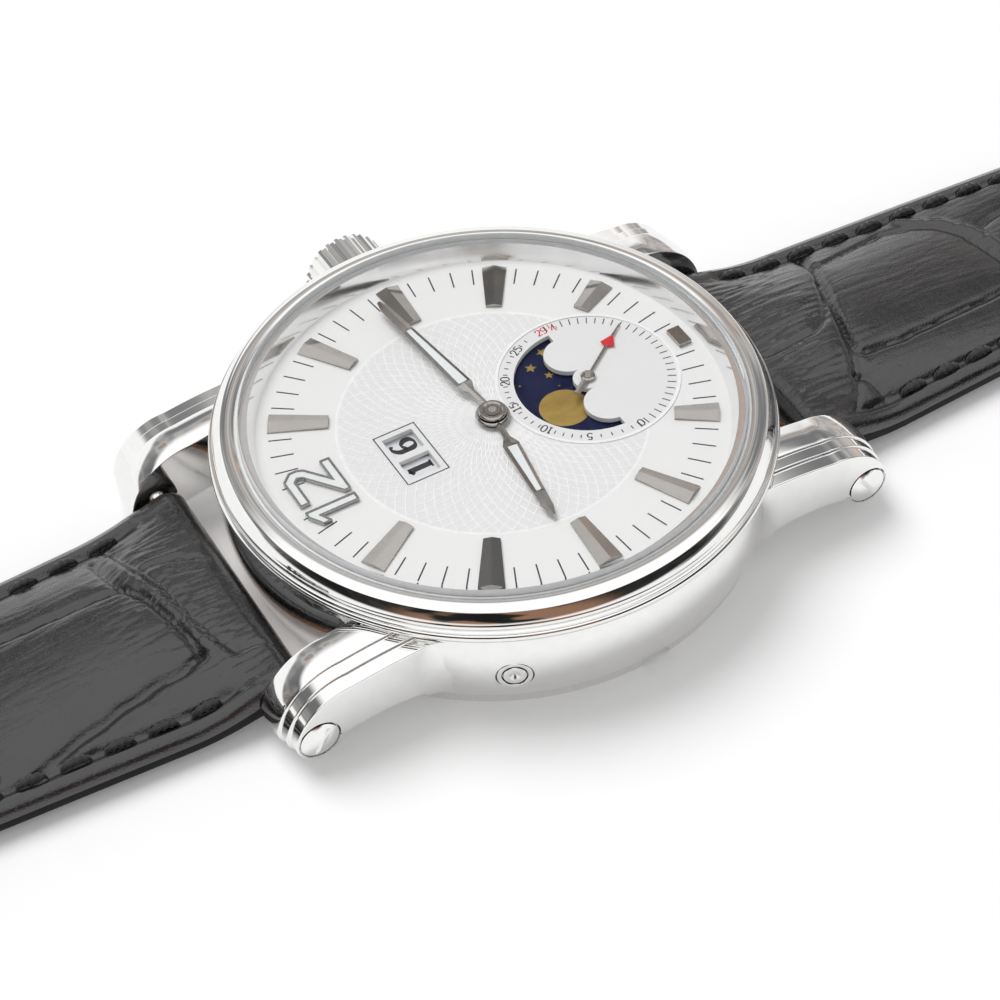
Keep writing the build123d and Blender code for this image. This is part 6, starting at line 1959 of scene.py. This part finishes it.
class WATCH_OT_stage(bpy.types.Operator):
    """Set up the table, the light and the camera"""
    bl_idname = "watch.stage"
    bl_label = "Studio"

    def execute(self, context):
        settings = context.scene.watch_stage
        self.table(settings)
        self.room(context.scene, settings)
        self.lamp(settings)
        self.camera(context.scene, settings)
        context.scene.view_settings.view_transform = "Standard"
        return {"FINISHED"}

    def table(self, settings):
        half = settings.floor_size / 2
        mesh = bpy.data.meshes.new("table")
        corners = level(oblong(-half, -half, half, half), -TABLE_GAP * MM)
        mesh.from_pydata(corners, [], [(0, 1, 2, 3)])
        floor = add_object("table", mesh)
        finish = Finish("table_white", settings.floor_colour, 0.9)
        finish.set("Specular IOR Level", 0.0)
        grain = finish.speckle(0.4, 2.0)
        colour = settings.floor_colour
        finish.tint(grain, ((0.3, colour), (0.7, toned(colour, 1.0, 0.01))))
        path = finish.node("ShaderNodeLightPath")
        diffuse = path.outputs["Is Diffuse Ray"]
        strength = finish.spread(diffuse, 0.0, 1.0, settings.floor_glow, 0.0)
        inputs = {"Color": WHITE, "Strength": strength}
        glow = finish.node("ShaderNodeEmission", inputs).outputs[0]
        inputs = {0: finish.shader.outputs[0], 1: glow}
        finish.show(finish.node("ShaderNodeAddShader", inputs).outputs[0])
        mesh.materials.append(finish.material)

    def room(self, scene, settings):
        """Plain light all around, and a studio that only polished surfaces show: a white
        ceiling, white low down on the far side, less of it towards 6 o'clock, and grey and
        copper patches between. The camera's side is dark, with copper behind the camera."""
        world = bpy.data.worlds.new("studio")
        world.use_nodes = True
        work = NodeWork(world.node_tree)
        work.nodes.clear()

        def fade(value, between, start, stop):
            return work.spread(value, *between, start, stop, interpolation_type="SMOOTHSTEP")

        def backdrop(colour, strength=1.0):
            inputs = {"Color": colour, "Strength": strength}
            return work.node("ShaderNodeBackground", inputs).outputs[0]

        where = work.node("ShaderNodeTexCoord").outputs["Generated"]
        axes = work.node("ShaderNodeSeparateXYZ", {0: where}).outputs
        away = -Vector((math.cos(settings.azimuth), math.sin(settings.azimuth), 0))
        far = work.node("ShaderNodeVectorMath", {0: where, 1: away},
                        operation="DOT_PRODUCT").outputs["Value"]
        cloud = work.node("ShaderNodeTexNoise", {"Vector": where, **STUDIO_CLOUD}).outputs["Fac"]
        over = work.maths("SUBTRACT", axes["Z"], fade(far, FAR_FADE, *STUDIO_EDGE))
        ceiling = fade(over, CEILING_FADE, 0.0, 1.0)
        above = work.maths("SUBTRACT", axes["Z"], fade(far, FAR_FADE, *STUDIO_HORIZON))
        horizon = work.maths("MULTIPLY", fade(above, HORIZON_FADE, 1.0, 0.0),
                             fade(axes["Y"], SIX_FADE, *STUDIO_SIX))
        patches = work.ramp(cloud, STUDIO_PATCHES)
        dark = backdrop(patches, fade(far, NEAR_FADE, STUDIO_NEAR, 1.0))
        copper_share = work.maths("MULTIPLY", fade(far, COPPER_FADE, 1.0, 0.0),
                                  fade(cloud, COPPER_CLOUD, 0.0, 1.0))
        dark = work.mix(copper_share, dark, backdrop((*STUDIO_COPPER, 1.0)))
        bright = work.maths("MAXIMUM", ceiling, horizon)
        room = work.mix(bright, dark, backdrop(WHITE, STUDIO_WHITE))
        path = work.node("ShaderNodeLightPath").outputs
        mirrored = work.maths("GREATER_THAN", path["Glossy Depth"], 0.5)
        seen = work.mix(mirrored, backdrop(WHITE), room)
        final = work.mix(path["Is Diffuse Ray"], seen, backdrop(WHITE, settings.sky))
        work.node("ShaderNodeOutputWorld", {"Surface": final})
        scene.world = world

    def lamp(self, settings):
        light = bpy.data.lights.new("overhead", "SUN")
        light.energy = settings.sun
        light.angle = settings.sun_spread
        lamp = add_object("overhead", light)
        lamp.visible_glossy = False
        lamp.visible_transmission = False
        lamp.rotation_euler = Vector(LAMP_FROM).to_track_quat("Z", "Y").to_euler()

    def camera(self, scene, settings):
        data = bpy.data.cameras.new("camera")
        data.lens = settings.lens
        data.sensor_width = SENSOR_WIDE
        data.clip_start = 0.01
        camera = add_object("camera", data)
        azimuth, elevation = settings.azimuth, settings.elevation
        view = -Vector((math.cos(azimuth) * math.cos(elevation),
                        math.sin(azimuth) * math.cos(elevation), math.sin(elevation)))
        right = view.cross(Vector((0, 0, 1))).normalized()
        down = view.cross(right)
        cosine, sine = math.cos(settings.roll), math.sin(settings.roll)
        right, down = cosine * right + sine * down, cosine * down - sine * right
        tx, ty, tz = CAMERA_REACH
        place = Vector((0, 0, CAMERA_AIM_Z)) - (right * tx + down * ty + view * tz)
        turn = Matrix((right, -down, -view)).transposed().to_4x4()
        camera.matrix_world = Matrix.Translation(place * MM) @ turn
        scene.camera = camera


# Add-on

class WATCH_PT_panel(bpy.types.Panel):
    """Lists the watch's pieces and their sizes"""
    bl_idname = "WATCH_PT_panel"
    bl_label = "Moon phase watch"
    bl_space_type = "VIEW_3D"
    bl_region_type = "UI"
    bl_category = "Watch"

    def draw(self, context):
        layout = self.layout
        for group in GROUPS:
            settings = getattr(context.scene, group)
            box = layout.box()
            for name in settings.bl_rna.properties.keys():
                if name not in ("rna_type", "name"):
                    box.prop(settings, name)
        for operator in OPERATORS:
            layout.operator(operator.bl_idname)


GROUPS = {
    "watch_case": WATCH_PG_case,
    "watch_crystal": WATCH_PG_crystal,
    "watch_dial": WATCH_PG_dial,
    "watch_hands": WATCH_PG_hands,
    "watch_moon": WATCH_PG_moon,
    "watch_strap": WATCH_PG_strap,
    "watch_stage": WATCH_PG_stage,
}
OPERATORS = (
    WATCH_OT_stage, WATCH_OT_case, WATCH_OT_bezel, WATCH_OT_crown, WATCH_OT_crystal,
    WATCH_OT_dial, WATCH_OT_subdial, WATCH_OT_markers, WATCH_OT_hands, WATCH_OT_moon,
    WATCH_OT_date, WATCH_OT_movement, WATCH_OT_straps, WATCH_OT_keepers, WATCH_OT_buckle,
)


def register():
    for group in GROUPS.values():
        bpy.utils.register_class(group)
    for name, group in GROUPS.items():
        setattr(bpy.types.Scene, name, PointerProperty(type=group))
    for operator in OPERATORS:
        bpy.utils.register_class(operator)
    bpy.utils.register_class(WATCH_PT_panel)


def unregister():
    bpy.utils.unregister_class(WATCH_PT_panel)
    for operator in reversed(OPERATORS):
        bpy.utils.unregister_class(operator)
    for name in GROUPS:
        delattr(bpy.types.Scene, name)
    for group in GROUPS.values():
        bpy.utils.unregister_class(group)


def main():
    register()
    bpy.ops.watch.stage()
    bpy.ops.watch.case()
    bpy.ops.watch.bezel()
    bpy.ops.watch.crown()
    bpy.ops.watch.crystal()
    bpy.ops.watch.dial()
    bpy.ops.watch.subdial()
    bpy.ops.watch.markers()
    bpy.ops.watch.hands()
    bpy.ops.watch.moon()
    bpy.ops.watch.date()
    bpy.ops.watch.movement()
    bpy.ops.watch.straps()
    bpy.ops.watch.keepers()
    bpy.ops.watch.buckle()


if __name__ == "__main__":
    main()
